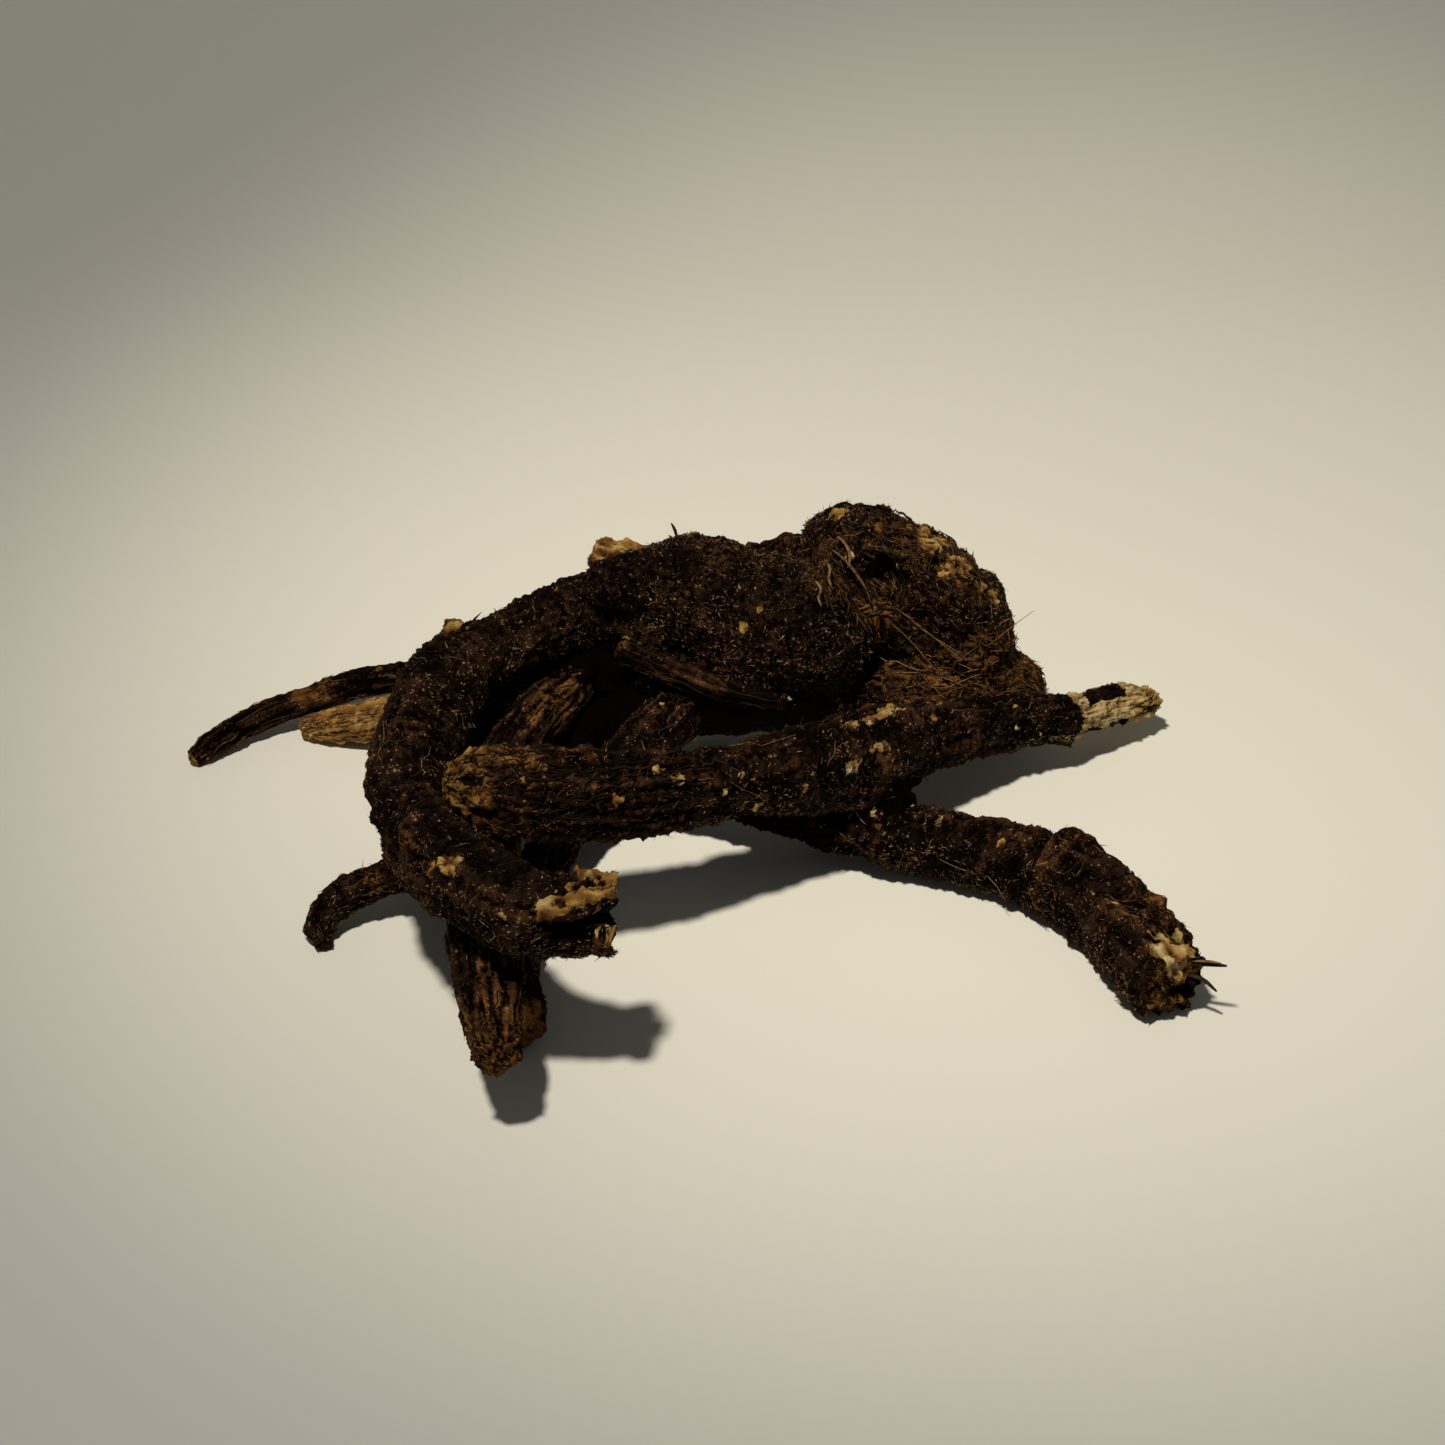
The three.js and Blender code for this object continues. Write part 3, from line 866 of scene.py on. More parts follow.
crossRoot = {
    **bristly, "seed": 20,
    "route": [
        [-28.6, -17, 27.4, 2.6], [-27, -17, 27.2, 4], [-24, -16.8, 26.6, 5.2], [-18.5, -16.2, 25.3, 5.7],
        [-9.5, -14.5, 23.5, 5.8], [1, -10.5, 21.5, 5.2], [10, -5.5, 19.5, 4.9], [18.5, 0.5, 17, 6.1],
        [27, 6.5, 14.5, 6.5], [35.5, 15, 12, 5], [47, 22, 9.5, 4.1], [56.5, 25.5, 8, 3.6],
        [64.5, 30.5, 6.5, 3.5], [71, 33.5, 5.5, 2.4],
    ],
    "start": rootEnd(0.75, 1.0, 0.8, 0.55, 0.7),
    "finish": rootEnd(1, 1.8, 0.5, 1, 0.3),
    "patches": [
        skinPatch(0.0, 0.27, bare=0, warm=0.5, ropy=0.36),
        skinPatch(-0.2, 0.13, middle=105, half=55, bare=0.34, warm=0.75, ragged=0.9, rough=0.3),
        skinPatch(-0.2, 0.05, bare=0.6, warm=0.7, ragged=0.9, rough=0.6),
        skinPatch(0.015, 0.03, middle=42, half=6, depth=0.4, bare=0, warm=0, ragged=1.2),
        skinPatch(0.5, 0.58, middle=80, slant=14, half=8, bare=0.6, warm=0.5, ragged=1.7, rough=0.9),
        skinPatch(0.495, 0.53, middle=47, half=8, bare=0.58, warm=0.5, ragged=1.7, rough=0.9),
        skinPatch(0.8, 0.868, middle=-22, half=15, bare=0.4, warm=0.1, ragged=1.1),
        skinPatch(0.868, 1.2, depth=0.5, warm=0.25, ragged=0.03, rough=0.35),
        skinPatch(0.96, 1.2, middle=60, half=90, warm=0.45, ragged=0.6, rough=0.5),
        skinPatch(0.89, 0.955, middle=95, half=38, depth=0.35, bare=0, warm=0.1, ragged=0.25),
        skinPatch(0.88, 0.965, middle=-45, half=35, depth=0.3, bare=0, warm=0.1),
    ],
    "spots": [
        [0.226, 68, 1, 0.6], [0.246, 52, 1.1, 0.5], [0.175, 28, 0.9, 0.7], [0.175, 100, 0.6, 0.5],
        [0.346, 346, 0.9, 0.6], [0.401, 9, 0.7, 0.5], [0.301, 23, 0.6, 0.6], [0.323, 44, 0.4, 0.7],
        [0.474, 27, 1.1, 0.3], [0.456, 77, 0.9, 0.5], [0.719, 73, 0.8, 0.6], [0.632, 62, 0.5, 0.7],
        [0.774, 21, 0.9, 0.2],
    ],
}
frontRoot = {
    **bristly, "seed": 30,
    "route": [
        [-9.5, 9, 9, 2.2], [1, 7.2, 8.6, 2.2], [8.5, 5.2, 8, 2.7], [14, 3.8, 7.8, 3.7], [21.5, 2.6, 7, 4.3],
        [31.5, -0.6, 6, 4.7], [41, -3.3, 5.5, 4.8], [50, -7.5, 5.4, 5.5], [56.2, -13, 5.4, 5.9],
        [61, -21.3, 5.4, 5.8], [64.6, -31.3, 5.3, 5.3],
    ],
    "finish": rootEnd(0.5, 0.4, 1.8, 0.52, 0.6),
    "patches": [
        # Painted shadow of the cross root: the front root's start is black.
        skinPatch(-0.2, 0.4, bare=0, warm=-0.12, ragged=0.35),
        skinPatch(0.7, 0.75, middle=110, half=30, depth=-0.4, bare=0.2, warm=0.75, ragged=0.8),
        skinPatch(0.66, 0.7, middle=35, slant=75, half=13, depth=1.6, bare=0, warm=0),
        skinPatch(0.86, 0.96, middle=112, half=48, depth=0.3, bare=0.05, warm=0.7, rough=1),
        skinPatch(0.975, 1.2, middle=195, half=35, depth=1.3, bare=0, warm=0, ragged=0.3),
        skinPatch(0.952, 1.2, middle=100, half=34, depth=0.4, warm=0.36, rough=0.75),
        skinPatch(0.687, 0.7, middle=85, half=60, depth=1.1, bare=0, warm=0, ragged=0.3),
    ],
    "spots": [[0.867, 68, 0.6, 0], [0.524, 78, 0.6, 0.2], [0.42, 70, 0.7, 0.3], [0.63, 60, 0.6, 0.5]],
    "knots": [[0.72, 115, 3, 1.2], [0.745, 130, 2, 0.8], [0.88, 140, 1.3, 1.2]],
}
leftLegRoot = {
    **striped, "seed": 40, "spacing": 0.42, "wrinkleSize": 0.95, "wrinkleDepth": 0.36, "grainDepth": 0.22,
    "warm": 0.42,
    "route": [
        [-6, 35, 8, 4], [-13.6, 32.5, 9.4, 3.9], [-18.4, 25, 10.8, 3.8], [-22, 17, 11.3, 3.9],
        [-25, 5, 11.5, 4.3], [-25.8, -11.5, 11.5, 4.7], [-24.2, -27, 12, 4.9], [-22.6, -40, 12.6, 4.3],
        [-20.8, -52.5, 13, 3],
    ],
    "finish": rootEnd(0.8, 1.2, 0.9, 0.45, 0.75),
    "patches": [
        # Painted shade: the upper end, deep under the crown, is black.
        skinPatch(-0.2, 0.16, bare=0, warm=-0.4, ragged=0.4),
        skinPatch(0.15, 0.3, middle=130, half=40, bare=0.2, warm=0.8, ragged=0.9),
        skinPatch(0.78, 0.93, middle=100, half=35, bare=0.1, warm=0.75, ragged=0.9),
        skinPatch(0.94, 1.2, middle=60, half=100, depth=0.3, bare=0.4, warm=0.75, rough=0.6),
    ],
}
rightLegRoot = {
    **striped, "seed": 50, "spacing": 0.42, "wrinkleSize": 0.95, "wrinkleDepth": 0.3, "grainDepth": 0.34,
    "warm": 0.32,
    "route": [
        [7, 33, 5, 3.6], [1, 28.5, 7.6, 4], [-3, 21, 8.8, 4], [-8, 12, 8.5, 3.9], [-15, 1.5, 7, 3.5],
        [-19, -9, 5, 3.3], [-21.4, -22, 3.6, 3.4], [-20.8, -33, 4.3, 4], [-20, -37.6, 4.6, 4.3],
    ],
    "finish": rootEnd(0.9, 1.2, 0.8, 0.6, 0.8),
    # Painted shade: the upper end, deep under the crown, is black.
    "patches": [skinPatch(-0.2, 0.14, bare=0, warm=-0.4, ragged=0.4)],
    "spots": [[0.183, 120, 0.6, 0.6], [0.2, 92, 0.5, 0.5]],
}
thinRoot = {
    **striped, "seed": 60, "spacing": 0.36, "knobbly": 0.2, "wrinkleDepth": 0.24, "warm": 0.5,
    "route": [
        [-24, 32.5, 17, 2.4], [-31, 37, 10.5, 2.3], [-41.5, 39.7, 6, 2.2], [-49.5, 39.2, 4.8, 2.2],
        [-56.5, 36, 4, 2.1], [-64.5, 31.8, 3, 2], [-70, 27, 2.2, 1.8], [-72.5, 24.5, 1.2, 1.2],
    ],
    "finish": rootEnd(0.7, 0.6, 0.4, 1, 0.6),
    "patches": [skinPatch(0.61, 0.69, middle=119, half=45, bare=0.6, warm=0.8, ragged=0.8)],
    "spots": [[0.466, 101, 0.7, 0.9]],
}
peeledRoot = {
    **striped, "seed": 70, "wrinkleDepth": 0.35, "slot": "bare_wood",
    "route": [
        [-14.5, 29.5, 10, 3.7], [-25, 28, 8.5, 3.6], [-36, 30, 6, 3.5], [-46, 30.5, 4, 3.3],
        [-51.5, 31, 2.8, 2.7], [-57, 32, 1.2, 1.5],
    ],
    "finish": rootEnd(0.6, 0.5, 0.8, 1, 0.6),
    "patches": [skinPatch(0.46, 1.4, depth=0.1, bare=0.95, warm=0.54, ragged=0.3)],
}
curlRoot = {
    **bristly, "seed": 80, "spacing": 0.3, "knobbly": 0.3, "wrinkleDepth": 0.25, "grainDepth": 0.3,
    "warm": 0.22, "scattered": 3,
    "route": [
        [-26.5, -14.5, 9.5, 2.6], [-35.5, -10.5, 7.5, 2.5], [-41, -10.5, 5.5, 2.5], [-46, -12.5, 4, 2.4],
        [-48, -15.5, 2.3, 2], [-47.4, -18.2, 0.9, 1.1],
    ],
    "finish": rootEnd(0.9, 0.3, 0.3, 0.3, 0.5),
    "patches": [skinPatch(0.5, 0.6, middle=142, half=35, bare=0.2, warm=0.95)],
}
backRoot = {
    **bristly, "seed": 90, "spacing": 0.3, "scattered": 0,
    "route": [[-26.5, 38, 11.5, 2.7], [-31.5, 44.6, 8.6, 2.4], [-36, 49.9, 7.1, 2.3]],
    "finish": rootEnd(0.8, 0.8, 0.8, 1, 0.5),
    "patches": [skinPatch(0.68, 1.4, bare=0.8, warm=0.68, rough=0.6)],
}
shaggyRoot = {
    **striped, "seed": 100, "lumps": 0.1, "knobbly": 0.5, "wrinkleSize": 1.3, "wrinkleDepth": 0.45,
    "grainDepth": 0.25, "warm": 0.85,
    "route": [
        [28, 39.5, 9, 5.8], [37, 42.5, 6.4, 6.8], [44.5, 42.7, 5.4, 5.6], [51, 41.5, 4.2, 4.1],
        [54.8, 41, 3.2, 2.8],
    ],
    "finish": rootEnd(0.8, 1, 0.8, 0.6, 0.7),
}
ridgeRoot = {
    **striped, "seed": 110, "spacing": 0.3, "knobbly": 0.2, "wrinkleDepth": 0.26, "warm": 0.5,
    "scattered": 0,
    "route": [
        [-8.2, 29.4, 17.3, 1.4], [-4, 27.8, 16, 1.9], [2, 26, 14.5, 2], [8, 25, 12.3, 1.7],
        [15, 26.3, 9.6, 1.1],
    ],
    "start": rootEnd(1, 1, 0.6, 0.35, 0.6),
    "patches": [
        skinPatch(-0.1, 0.06, bare=0.4, warm=0.6, ragged=1, rough=0.5),
        # Painted shade: the end, where it runs into shadow, is darkened.
        skinPatch(0.78, 1.4, bare=0, warm=0.05, ragged=0.6),
    ],
}
cutStem = {
    **bristly, "seed": 120, "spacing": 0.3,
    "route": [[-1.5, 39.5, 23.4, 4], [-6.5, 41, 24.4, 3.9], [-11.8, 42.4, 25, 3.5]],
    "finish": rootEnd(0.85, 1.4, 1, 0.85, 0.5),
    "patches": [skinPatch(0.0, 1.4, depth=0.1, bare=0.75, warm=0.68, ragged=0.8, rough=0.8)],
}
backStem = {
    **bristly, "seed": 130, "spacing": 0.4, "warm": 0.75, "lumps": 0.25, "scattered": 0,
    "knots": [[0.42, 95, 1.8, 1], [0.78, 85, 1.5, 1.1]],
    "route": [[22, 47.5, 21.5, 5], [15.5, 50, 20.4, 3.8], [9, 49.5, 18.6, 2.6]],
}
# Four short roots in deep shadow under the others, near black with painted shade.
forkRoot = {
    **paintedShadeBark, "seed": 140, "warm": -0.1,
    "route": [[24.5, 4.5, 14.5, 5.8], [28, 3.5, 12, 4.3], [30.5, 2, 8, 3.6]],
}
heelRoot = {
    **paintedShadeBark, "seed": 150,
    "route": [[-8, 35.5, 10, 5], [-16, 36, 11, 4.8], [-21.5, 34, 12, 4.2], [-25.5, 30, 13, 3.6]],
}
innerRoot = {
    **paintedShadeBark, "seed": 170,
    "route": [[-19, 30, 8.5, 4], [-26.5, 22, 7.5, 4.2], [-28, 13, 7.5, 3.4], [-27.5, 0, 9, 3.2]],
}
crotchRoot = {
    **paintedShadeBark, "seed": 160,
    "route": [[-1, 30, 7, 4.5], [-8, 28, 6, 4.4], [-13, 25.5, 5.4, 4.2], [-17.5, 20.5, 4.6, 3.2]],
}

rootPlans = {
    "hookRoot": hookRoot, "crossRoot": crossRoot, "frontRoot": frontRoot, "leftLegRoot": leftLegRoot,
    "rightLegRoot": rightLegRoot, "thinRoot": thinRoot, "peeledRoot": peeledRoot, "curlRoot": curlRoot,
    "backRoot": backRoot, "shaggyRoot": shaggyRoot, "ridgeRoot": ridgeRoot, "cutStem": cutStem,
    "backStem": backStem, "forkRoot": forkRoot, "heelRoot": heelRoot, "innerRoot": innerRoot,
    "crotchRoot": crotchRoot,
}
skins = {}


# Puts a skin in place of the plain solid, and keeps it for the bristles and fibres that stand on it.
def dressPart(name, skin, slotName):
    piece = meshPiece(name, skin["points"], skin["faces"], skin["shades"], bark, slotName)
    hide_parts("osha_root")
    skins[name] = skin


for name, plan in rootPlans.items():
    dressPart(name, rootSkin(plan), plan["slot"])


# A coat of the crown: an egg-shaped region, the warmth and the shares of bare wood and fibres in it, and
# the way that the fibres run.
def crownCoat(centre, reach, warm, bare, fibrous, flow):
    coat = {"centre": centre, "reach": reach, "warm": warm, "bare": bare, "fibrous": fibrous}
    return {**coat, "flow": np.array(flow)}


# The crown: swollen stems and knobs, blended into one another and hollowed by pits. Each stem is a route
# of [x, y, z, radius], each knob and pit one such ball, and each spot [x, y, z, radius, warmth].
crown = {
    "stems": [
        [
            [-3.5, 31, 10.8, 3.8], [2.5, 30, 10, 5.4], [11.5, 30, 8.5, 5.7], [21, 32, 8.5, 5.4],
            [30.5, 36.5, 9, 5.8],
        ],
        [
            [-10, 36, 24, 4.2], [-4.5, 37.5, 22.5, 6.3], [2.5, 37.5, 21.3, 9], [11.5, 35.5, 18.6, 9.8],
            [18.5, 35, 17, 10.4], [23, 35.5, 15, 8],
        ],
        [
            [22.5, 43.5, 26.8, 3.4], [24.3, 43.5, 27.1, 5.5], [27, 43, 26.3, 6.5], [31, 42, 23, 8.2],
            [36.5, 41.5, 18.5, 9.3], [41.5, 41, 13, 9], [43.5, 41, 8.5, 7.6],
        ],
        [[-3.5, 36, 17, 5.4], [-9, 38.3, 18, 5.5], [-15, 37.8, 18.8, 4.6]],
        [[-4.5, 35.5, 8.5, 4.6], [-12.5, 34, 7.5, 3.9]],
        [[9, 31, 8, 4.8], [1.5, 28.5, 7.5, 4.2], [-2, 22, 7.5, 3]],
        [[28, 39.5, 9, 6.2], [37, 42.5, 6.4, 6.2]],
        [[22, 47.5, 21.5, 5.4], [15.5, 50.5, 20, 3.2]],
        [[23.5, 40.5, 28, 2.8], [22.8, 37.5, 26.5, 2.6], [23.2, 33.5, 24, 2.6], [24.5, 31.5, 19.5, 3.2]],
        [[30.4, 35.5, 23, 1.4], [29.4, 33.2, 21, 2.4], [28.6, 33.2, 18.6, 2.1]],
        [
            [30.5, 33.5, 9, 4], [34, 32.5, 8.2, 5.2], [40, 33, 7.6, 5.6], [47, 36.5, 6.2, 4.6],
            [53, 39.5, 4.6, 3.2],
        ],
        [[31.5, 36, 16.5, 3.6], [36, 35.2, 15.2, 5], [43, 36.8, 12.5, 5]],
        [[27.5, 37.5, 28.5, 2.2], [32, 35.5, 27, 2.4], [36.5, 34.5, 24, 2.8], [41, 34, 20.5, 2.6]],
    ],
    "knobs": [
        [1.5, 40, 25.6, 4], [6, 38.5, 24.3, 5.4], [13.5, 38.5, 22.2, 5.2], [28.5, 46.5, 22.5, 7],
        [44.2, 44, 15, 6], [36.5, 43.2, 25.2, 3.6], [41, 38.5, 23.2, 3.4], [46.6, 38.8, 18.3, 2.6],
    ],
    "pits": [
        [29.9, 33.4, 26, 4.6], [26.2, 34.2, 27.6, 2.3], [33.4, 34.6, 26.4, 1.8], [28, 31, 14.6, 2.4],
        [28.4, 34.5, 13, 2.6], [38.6, 37.2, 26.4, 1.7],
    ],
    "ballSpacing": 0.9, "fillet": 1.3, "step": 0.42, "low": [-20, 15, -3], "high": [57, 56, 37],
    "lumpSize": 6.5, "lumpDepth": 1.0, "knobbly": 0.45, "grainSize": 1.0, "grainDepth": 0.36,
    "chipSize": 1.2, "warm": 0.25, "warmSize": 6, "flow": [0.9, 0.1, -0.4],
    "strand": [0.8, 8], "streak": [0.6, 6],  # across and along the flow
    "coats": {
        "lobe": crownCoat([33, 41, 25], [17, 12, 9], 0.58, 0, 0.7, [0.8, -0.1, -0.6]),
        "limb": crownCoat([22, 36, 26], [4, 7, 8], 0.65, 0, 0.5, [0.1, -0.7, -0.7]),
        "curl": crownCoat([29, 33, 20.3], [3.4, 4, 3.6], 0.9, 0.1, 1, [-0.3, 0, 0.95]),
        # Painted shade: the pit and the hollow under the crown are made black by warmth below 0.
        "pit": crownCoat([30.4, 34.4, 26.6], [4, 4.2, 3.6], -0.3, 0, 0.4, [1, 0, 0]),
        "hollow": crownCoat([4, 26.5, 5.5], [22, 9.5, 7.5], -0.4, 0, 0, [1, 0, 0]),
        "skirt": crownCoat([42, 35, 8.5], [18, 10, 10], 0.85, 0.02, 0.45, [0.95, 0.1, -0.3]),
    },
    "spots": [
        [23.6, 42.4, 33, 1.5, 0.6], [36.9, 42, 29, 3.4, 0.62], [29, 40.5, 31, 1.2, 0.9],
        [41, 38.3, 26.3, 2.6, 0.6], [44, 37.5, 23, 1.6, 0.62], [46.6, 38.8, 20.5, 1.8, 0.58],
        [25, 36.5, 29.5, 0.9, 0.2], [21.1, 29.8, 27.6, 0.8, 0.3], [9.5, 26.5, 23.1, 0.9, 0.5],
        [11.9, 27.9, 25.4, 0.6, 0.8], [16.5, 26.4, 11.1, 0.8, 0.4], [1.5, 42, 29, 1.2, 0.4],
        [38.1, 35.9, 5.8, 1.2, 0.7], [48.9, 38.7, 7.6, 1, 0.7],
    ],
}


# How far a coat covers a place, 0 to 1: full round its centre, none past its reach.
def coatShare(coat, points):
    away = np.linalg.norm((points - coat["centre"]) / coat["reach"], axis=-1)
    return ease(away + 0.25 * layeredNoise(points / 3, 2), 1.1, 0.75)


# How far the crown's skin stands out from the blended stems.
def skinSwell(points):
    lump = layeredNoise(points / crown["lumpSize"] + 40, 3)
    craggy = 1 + 1.4 * coatShare(crown["coats"]["lobe"], points)
    knobbly = crown["knobbly"] * craggy * layeredNoise(points / skinPlan["knobSize"] + 20, 2)
    return crown["lumpDepth"] * lump + knobbly


# The crown's skin: the surface of the blended balls, swollen by lumps and covered with grains, or with
# strands along the flow where a coat is fibrous, and raised at its spots.
def crownSkin(plan):
    low = np.array(plan["low"], float)
    count = np.ceil((plan["high"] - low) / plan["step"]).astype(int)
    axes = [low[k] + plan["step"] * np.arange(count[k]) for k in range(3)]
    places = np.stack(np.meshgrid(*axes, indexing="ij"), -1).astype(np.float32)
    chains = [evenCurve(stem, plan["ballSpacing"])[0] for stem in plan["stems"]]
    chains += [[knob] for knob in plan["knobs"]]
    field = chainField(places, chains[0])
    for chain in chains[1:]:
        field = blendFields(field, chainField(places, chain), plan["fillet"])
    for pit in plan["pits"]:
        field = -blendFields(-field, chainField(places, [pit]), plan["fillet"] / 2)
    field = np.maximum(field, 0.1 - places[..., 2])
    points, faces = netSurface(field, low, plan["step"])
    normals = pointNormals(points, faces)
    warm = plan["warm"] + skinPlan["warmthVaries"] * layeredNoise(points / plan["warmSize"], 2)
    bare, fibrous, raised = np.zeros((3, len(points)))
    flow = np.tile(plan["flow"], (len(points), 1))
    for coat in plan["coats"].values():
        cover = coatShare(coat, points)
        warm = moveTo(warm, coat["warm"] + 0.2 * layeredNoise(points / 3, 2), cover)
        bare = moveTo(bare, coat["bare"], cover)
        fibrous = moveTo(fibrous, coat["fibrous"], cover)
        flow = moveTo(flow, coat["flow"], cover[:, None])
    flow = unit(flow)
    chips = layeredNoise(points / plan["chipSize"] + 30, 3)
    holes = ease(chips, *skinPlan["chipHoles"])
    uneven = 0.8 * layeredNoise(points / skinPlan["spotSize"], 3)
    for x, y, z, radius, spotWarmth in plan["spots"]:
        nearness = 1.1 - np.linalg.norm(points - [x, y, z], axis=1) / radius + uneven
        cover, bare, warm = laySpot(nearness, spotWarmth, bare, warm, chips, holes)
        raised = raised + cover * (0.2 + 0.6 * chips)
    grain = 0.5 - grainNoise(points / plan["grainSize"] + 7)
    crumb = layeredNoise(points / plan["grainSize"] * skinPlan["crumbFineness"], 2)
    strands = cracked(alongFlow(points, flow, *plan["strand"]))
    fine = (grain + crumb) * (1 - fibrous) + (0.9 * strands + 0.4 * crumb) * fibrous
    points = points + normals * (skinSwell(points) + plan["grainDepth"] * fine + raised)[:, None]
    streak = layeredNoise(alongFlow(points, flow, *plan["streak"]), 2)
    shades = skinShades(bare, warm, 0.5 + 0.5 * fine, streak)
    lattice = (field, low, plan["step"])
    return {"points": points, "faces": faces, "shades": shades, "flow": flow, "field": lattice}


dressPart("crown", crownSkin(crown), "bark")

# Bristles: fine slivers all over, and broader flakes of bark among them. Each coat names skins and how
# many slivers they carry on a square millimetre.
bristlePlan = {"length": 0.58, "width": 0.105, "lift": 0.3, "spread": 1.2, "darkness": 2.1, "palest": 1}
flakePlan = {"length": 0.8, "width": 0.35, "lift": 0.2, "spread": 0.8, "darkness": 4, "palest": 0.4}
coats = {
    "crownBristles": (bristlePlan, {"crown": 8.4, "shaggyRoot": 4}),
    "hookBristles": (bristlePlan, {"hookRoot": 9.2, "curlRoot": 5, "backRoot": 3}),
    "crossBristles": (bristlePlan, {"crossRoot": 5.6, "forkRoot": 3}),
    "frontBristles": (bristlePlan, {"frontRoot": 7.8, "rightLegRoot": 4, "leftLegRoot": 2}),
    "flakes": (flakePlan, {"crown": 0.55, "hookRoot": 0.6, "crossRoot": 0.5, "frontRoot": 0.6}),
}
rng = np.random.default_rng(5)
for name, (plan, coat) in coats.items():
    slivers = joinMeshes([bristlesOn(skins[part], density, plan, rng) for part, density in coat.items()])
    meshPiece(name, *slivers, strand, "bark", smooth=False)

# Fibres: bark that has come apart lengthwise. A lot's tone lies between two values.
plainFibres = {
    "middle": 90,
    "half": 130,
    "drift": 0.25,
    "lift": 0.15,
    "radius": 0.1,
    "warm": 0.5,
    "tones": [0, 0.4],
}
longHairs = {"length": 6, "drift": 0.5, "lift": 0.8, "radius": 0.055, "warm": 0.2, "tones": [0.5, 0.9]}
ruddy = {"tones": [0.03, 1]}


# A lot of fibres on one root, between two shares of its length.
def fibreLot(root, start, end, count, **changes):
    return {**plainFibres, "on": root, "from": start, "to": end, "count": count, **changes}


# A lot of fibres on one coat of the crown.
def crownLot(coat, count, **changes):
    return {**plainFibres, "coat": coat, "count": count, **changes}


fibreLots = [
    fibreLot("crossRoot", 0.04, 0.26, 150, length=5, radius=0.17, warm=0.9, tones=[0, 0.05]),
    fibreLot("crossRoot", 0.04, 0.3, 90, length=3, radius=0.08, warm=0.8, tones=[0.05, 0.5]),
    fibreLot("crossRoot", 0.24, 0.86, 100, length=1.8, tones=[0, 0.3]),
    fibreLot("hookRoot", 0.05, 0.9, 130, length=1.4, drift=0.5, tones=[0, 0.25]),
    fibreLot("frontRoot", 0.3, 0.95, 100, length=1.3, drift=0.5, tones=[0, 0.2]),
    fibreLot("frontRoot", 0.84, 0.94, 60, middle=110, half=50, length=2, warm=0.9),
    fibreLot("leftLegRoot", 0.17, 0.4, 90, length=4, warm=0.8, tones=[0, 0.2]),
    fibreLot("leftLegRoot", 0.7, 0.97, 90, length=4, warm=0.8, tones=[0, 0.2]),
    fibreLot("rightLegRoot", 0.1, 0.98, 160, length=3, warm=0.6),
    fibreLot("thinRoot", 0.2, 0.98, 100, length=3, warm=0.7),
    fibreLot("peeledRoot", 0.45, 0.99, 160, length=5, warm=1, tones=[0.4, 1.2]),
    fibreLot("shaggyRoot", 0.1, 0.97, 500, length=1.8, lift=0.3, drift=0.9, warm=0.9, **ruddy),
    fibreLot("ridgeRoot", 0.05, 0.95, 60, length=5, warm=0.9, tones=[0, 0.12]),
    fibreLot("curlRoot", 0.2, 0.98, 120, length=2.5, warm=0.6),
    fibreLot("frontRoot", 0.35, 0.9, 2, middle=60, half=60, **longHairs),
    fibreLot("hookRoot", 0.2, 0.9, 2, middle=60, half=60, **longHairs),
    fibreLot("crossRoot", 0.1, 0.8, 3, middle=40, half=60, **longHairs),
]
crownFibreLots = [
    crownLot("skirt", 450, length=1.4, spread=0.6, lift=0.2, radius=0.07, warm=0.9, **ruddy),
    crownLot("skirt", 150, length=3, spread=0.3, lift=0.25, radius=0.09, warm=0.7, **ruddy),
    crownLot("skirt", 22, length=6.5, spread=0.5, lift=0.8, radius=0.07, warm=0.4, tones=[0.4, 1]),
    crownLot("lobe", 420, length=2, spread=0.4, lift=0.1, radius=0.09, warm=0.6),
    crownLot("limb", 70, length=2.5, spread=0.3, lift=0.1, warm=0.7, tones=[0, 0.22]),
    crownLot("curl", 60, length=3, spread=0.2, lift=0.05, radius=0.16, warm=0.9),
]


# Tubes along a lot of fibre lines, each with its own thickness, tone and warmth.
def fibreTubes(lines, lot, rng):
    count = len(lines)
    radii = lot["radius"] * rng.lognormal(0, 0.3, count)
    warm = np.clip(lot["warm"] + rng.normal(0, 0.2, count), 0, 1)
    tones = lot["tones"][0] + (lot["tones"][1] - lot["tones"][0]) * rng.random(count) ** 2.5
    return strandTubes(lines, radii, np.stack([tones, warm, np.ones(count), rng.random(count)], -1))


rootFibres = [fibreTubes(fibreLines(skins[lot["on"]], lot, rng), lot, rng) for lot in fibreLots]
meshPiece("rootFibres", *joinMeshes(rootFibres), strand, "bark")
crownFibres = []
for lot in crownFibreLots:
    lines = crownFibreLines(skins["crown"], crown["coats"][lot["coat"]], lot, rng)
    crownFibres.append(fibreTubes(lines, lot, rng))
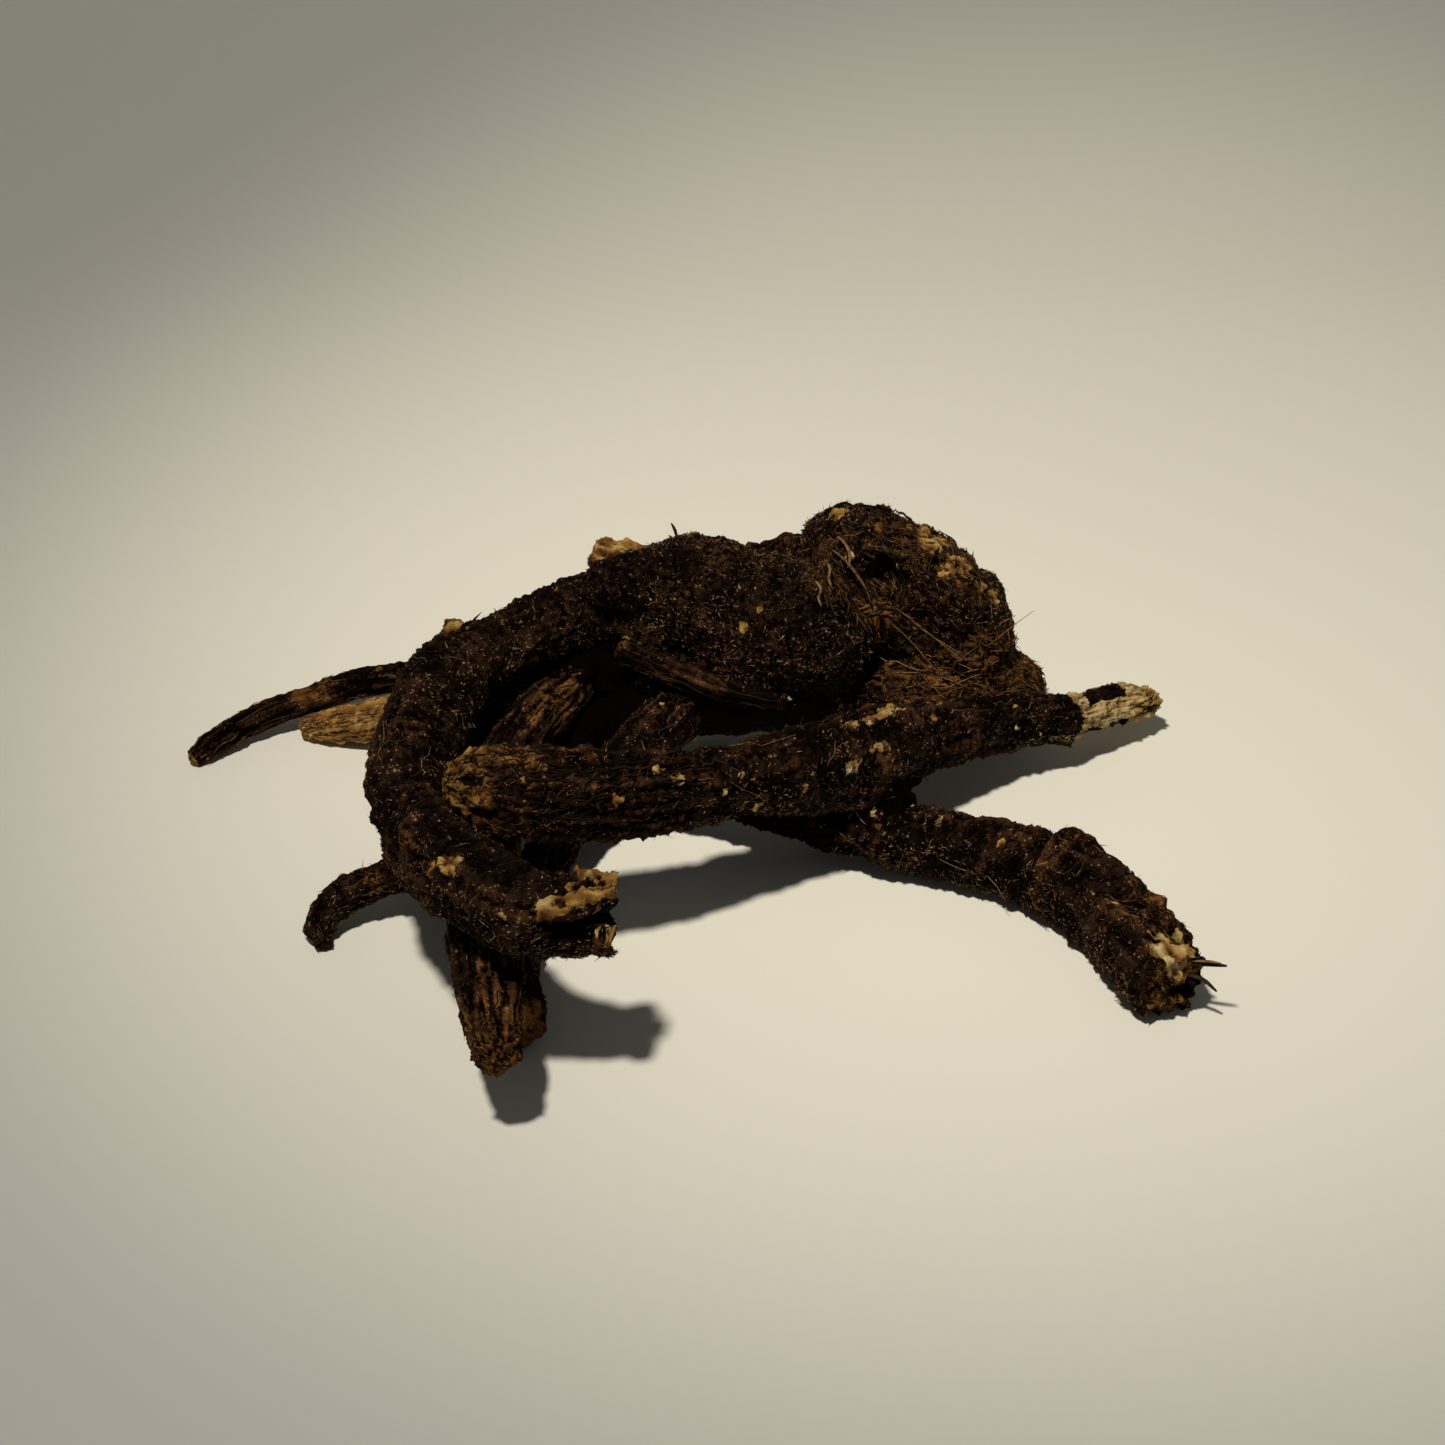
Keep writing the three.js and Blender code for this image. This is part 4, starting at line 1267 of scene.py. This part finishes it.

# Strands laid one by one, each a radius, a tone and a route: the lips of the crown's pit, long hairs on its
# skirt, and torn splinters.
strayLines = [
    (0.3, 0.28, [
        [22.6, 36.6, 30.2], [24.2, 35.2, 29.6], [26, 33.6, 28], [27.6, 32.4, 25.8], [28.4, 32, 23.4],
    ]),
    (0.28, 0.45, [[23.4, 37.8, 31.8], [24.6, 36.6, 31], [25.2, 35.2, 29.8], [24.8, 34.2, 28.6]]),
    (0.26, 0.4, [[21.4, 34.6, 29.8], [22.2, 33.4, 29], [22, 32, 28], [22.6, 31, 26.8]]),
    (0.28, 0.5, [[20, 30.2, 28.8], [20.8, 29.2, 28], [20.4, 28.4, 27], [20.9, 27.8, 25.8]]),
    (0.09, 0.6, [[32, 31.4, 23.4], [35, 30, 21.6], [38.4, 29.8, 18.6], [42, 29.4, 15.6]]),
    (0.07, 0.5, [[33.4, 31.8, 22.2], [36, 30.8, 20], [40, 29.9, 17.6], [43.2, 30, 15]]),
    (0.08, 0.5, [[31, 31.4, 21.2], [34, 30.4, 18.6], [37, 29.2, 15.4], [39.6, 29, 12.4]]),
    (0.07, 0.5, [[46, 33.4, 15.4], [50, 35, 18.2], [53, 37, 19.4]]),
    (0.3, 0.1, [[-0.3, 42, 28.5], [-0.6, 42, 30.4], [-1.1, 42, 31.6]]),
    (0.4, 0.05, [[65, -29.5, 7.4], [68.2, -30.8, 8.4], [71.4, -31.6, 8.8]]),
    (0.35, 0.1, [[65.4, -30.2, 6.6], [68.4, -31.4, 6.4], [70.4, -32.2, 5]]),
    (0.2, 0.5, [[67, -30.6, 8.8], [69.2, -31.4, 9.4], [70.6, -31.8, 9.4]]),
]
for radius, tone, route in strayLines:
    line = evenCurve(route, 0.5)[0][None]
    crownFibres.append(strandTubes(line, np.array([radius]), np.array([[tone, 0.3, 1, 0.5]])))
meshPiece("crownFibres", *joinMeshes(crownFibres), strand, "bark")

# Floor and sweep: level under the root, then bending up into a backdrop behind it. Sizes in metres.
floorPlan = {
    "width": 3.0,
    "front": -1.6,
    "bendStart": 0.2,
    "bendRadius": 0.3,
    "bendSteps": 24,
    "top": 1.6,
    "paint": [(0.79, 0.765, 0.66), (0.82, 0.79, 0.69)],
    "roughness": 0.55,
    "specular": 0.3,
}


# A profile of a level line, a quarter circle and an upright line, carried across the width.
def floorPiece(plan):
    bend = np.linspace(0, math.pi / 2, plan["bendSteps"])
    back = plan["bendStart"] + plan["bendRadius"]
    y = np.concatenate([[plan["front"]], plan["bendStart"] + plan["bendRadius"] * np.sin(bend), [back]])
    z = np.concatenate([[0], plan["bendRadius"] * (1 - np.cos(bend)), [plan["top"]]])
    x = np.array([-plan["width"] / 2, plan["width"] / 2])
    points = np.stack([np.repeat(x, len(y)), np.tile(y, 2), np.tile(z, 2)], -1)
    n = len(y)
    faces = [(k, n + k, n + k + 1, k + 1) for k in range(n - 1)]
    mesh = bpy.data.meshes.new("floor")
    mesh.from_pydata(points.tolist(), [], faces)
    mesh.polygons.foreach_set("use_smooth", [True] * len(faces))
    material, tree, shader, coords = startMaterial("paleSweep", plan)
    paint = mixColours(tree, noiseNode(tree, coords, 6, 2), *plan["paint"])
    tree.links.new(paint, shader.inputs["Base Color"])
    mesh.materials.append(material)
    floor = placeObject("floor", mesh)


floorPiece(floorPlan)

# Two lamps in one place, over the root and a little to its left and front: a wide one, and a spot that
# makes a soft pool of light under it. A faint fill comes from all round.
lightPlan = {
    "place": [-0.10, -0.17, 0.55],
    "aim": [0.07, 0.085, 0],
    "size": 0.045,
    "widePower": 1.15,
    "wideColour": (1.0, 0.98, 0.95),
    "spotPower": 9.2,
    "spotColour": (1.0, 0.93, 0.78),
    "spotAngle": 42,
    "fill": 0.085,
    "fillColour": (0.95, 0.95, 1.0, 1),
}


# Puts a lamp or the camera in its place, looking along a direction.
def aimObject(holder, place, direction):
    holder.location = place
    holder.rotation_mode = "QUATERNION"
    holder.rotation_quaternion = direction.to_track_quat("-Z", "Y")


# Makes both lamps and the fill.
def addLights(plan):
    wide = bpy.data.lights.new("wideLamp", "AREA")
    wide.shape = "DISK"
    wide.size = plan["size"]
    wide.energy = plan["widePower"]
    wide.color = plan["wideColour"]
    spot = bpy.data.lights.new("spotLamp", "SPOT")
    spot.shadow_soft_size = plan["size"] / 2
    spot.spot_size = math.radians(plan["spotAngle"])
    spot.spot_blend = 1
    spot.energy = plan["spotPower"]
    spot.color = plan["spotColour"]
    direction = Vector(plan["aim"]) - Vector(plan["place"])
    for lamp in (wide, spot):
        aimObject(placeObject(lamp.name, lamp), plan["place"], direction)
    world = bpy.data.worlds.new("studioFill")
    world.use_nodes = True
    fill = world.node_tree.nodes["Background"].inputs
    fill["Color"].default_value = plan["fillColour"]
    fill["Strength"].default_value = plan["fill"]
    bpy.context.scene.world = world


addLights(lightPlan)

# The camera looks at its target from in front, raised by its elevation. Lengths in metres, the lens and
# its sensor in millimetres.
cameraPlan = {
    "target": [0.00715, 0.01797, 0.012],
    "distance": 0.349,
    "elevation": 35,
    "lens": 60,
    "sensor": 36,
}


# Steps back from the target along a slope of the elevation, and looks down that slope.
def addCamera(plan):
    camera = bpy.data.cameras.new("camera")
    camera.lens = plan["lens"]
    camera.sensor_width = plan["sensor"]
    camera.clip_start = 0.01
    camera.clip_end = 20
    slope = math.radians(plan["elevation"])
    back = Vector((0, -math.cos(slope), math.sin(slope)))
    holder = placeObject("camera", camera)
    aimObject(holder, Vector(plan["target"]) + back * plan["distance"], -back)
    bpy.context.scene.camera = holder


addCamera(cameraPlan)
bpy.context.scene.view_settings.view_transform = "Standard"
print("floor, light and camera placed")

print("triangles in all", sum(len(piece.data.polygons) for piece in pieces))
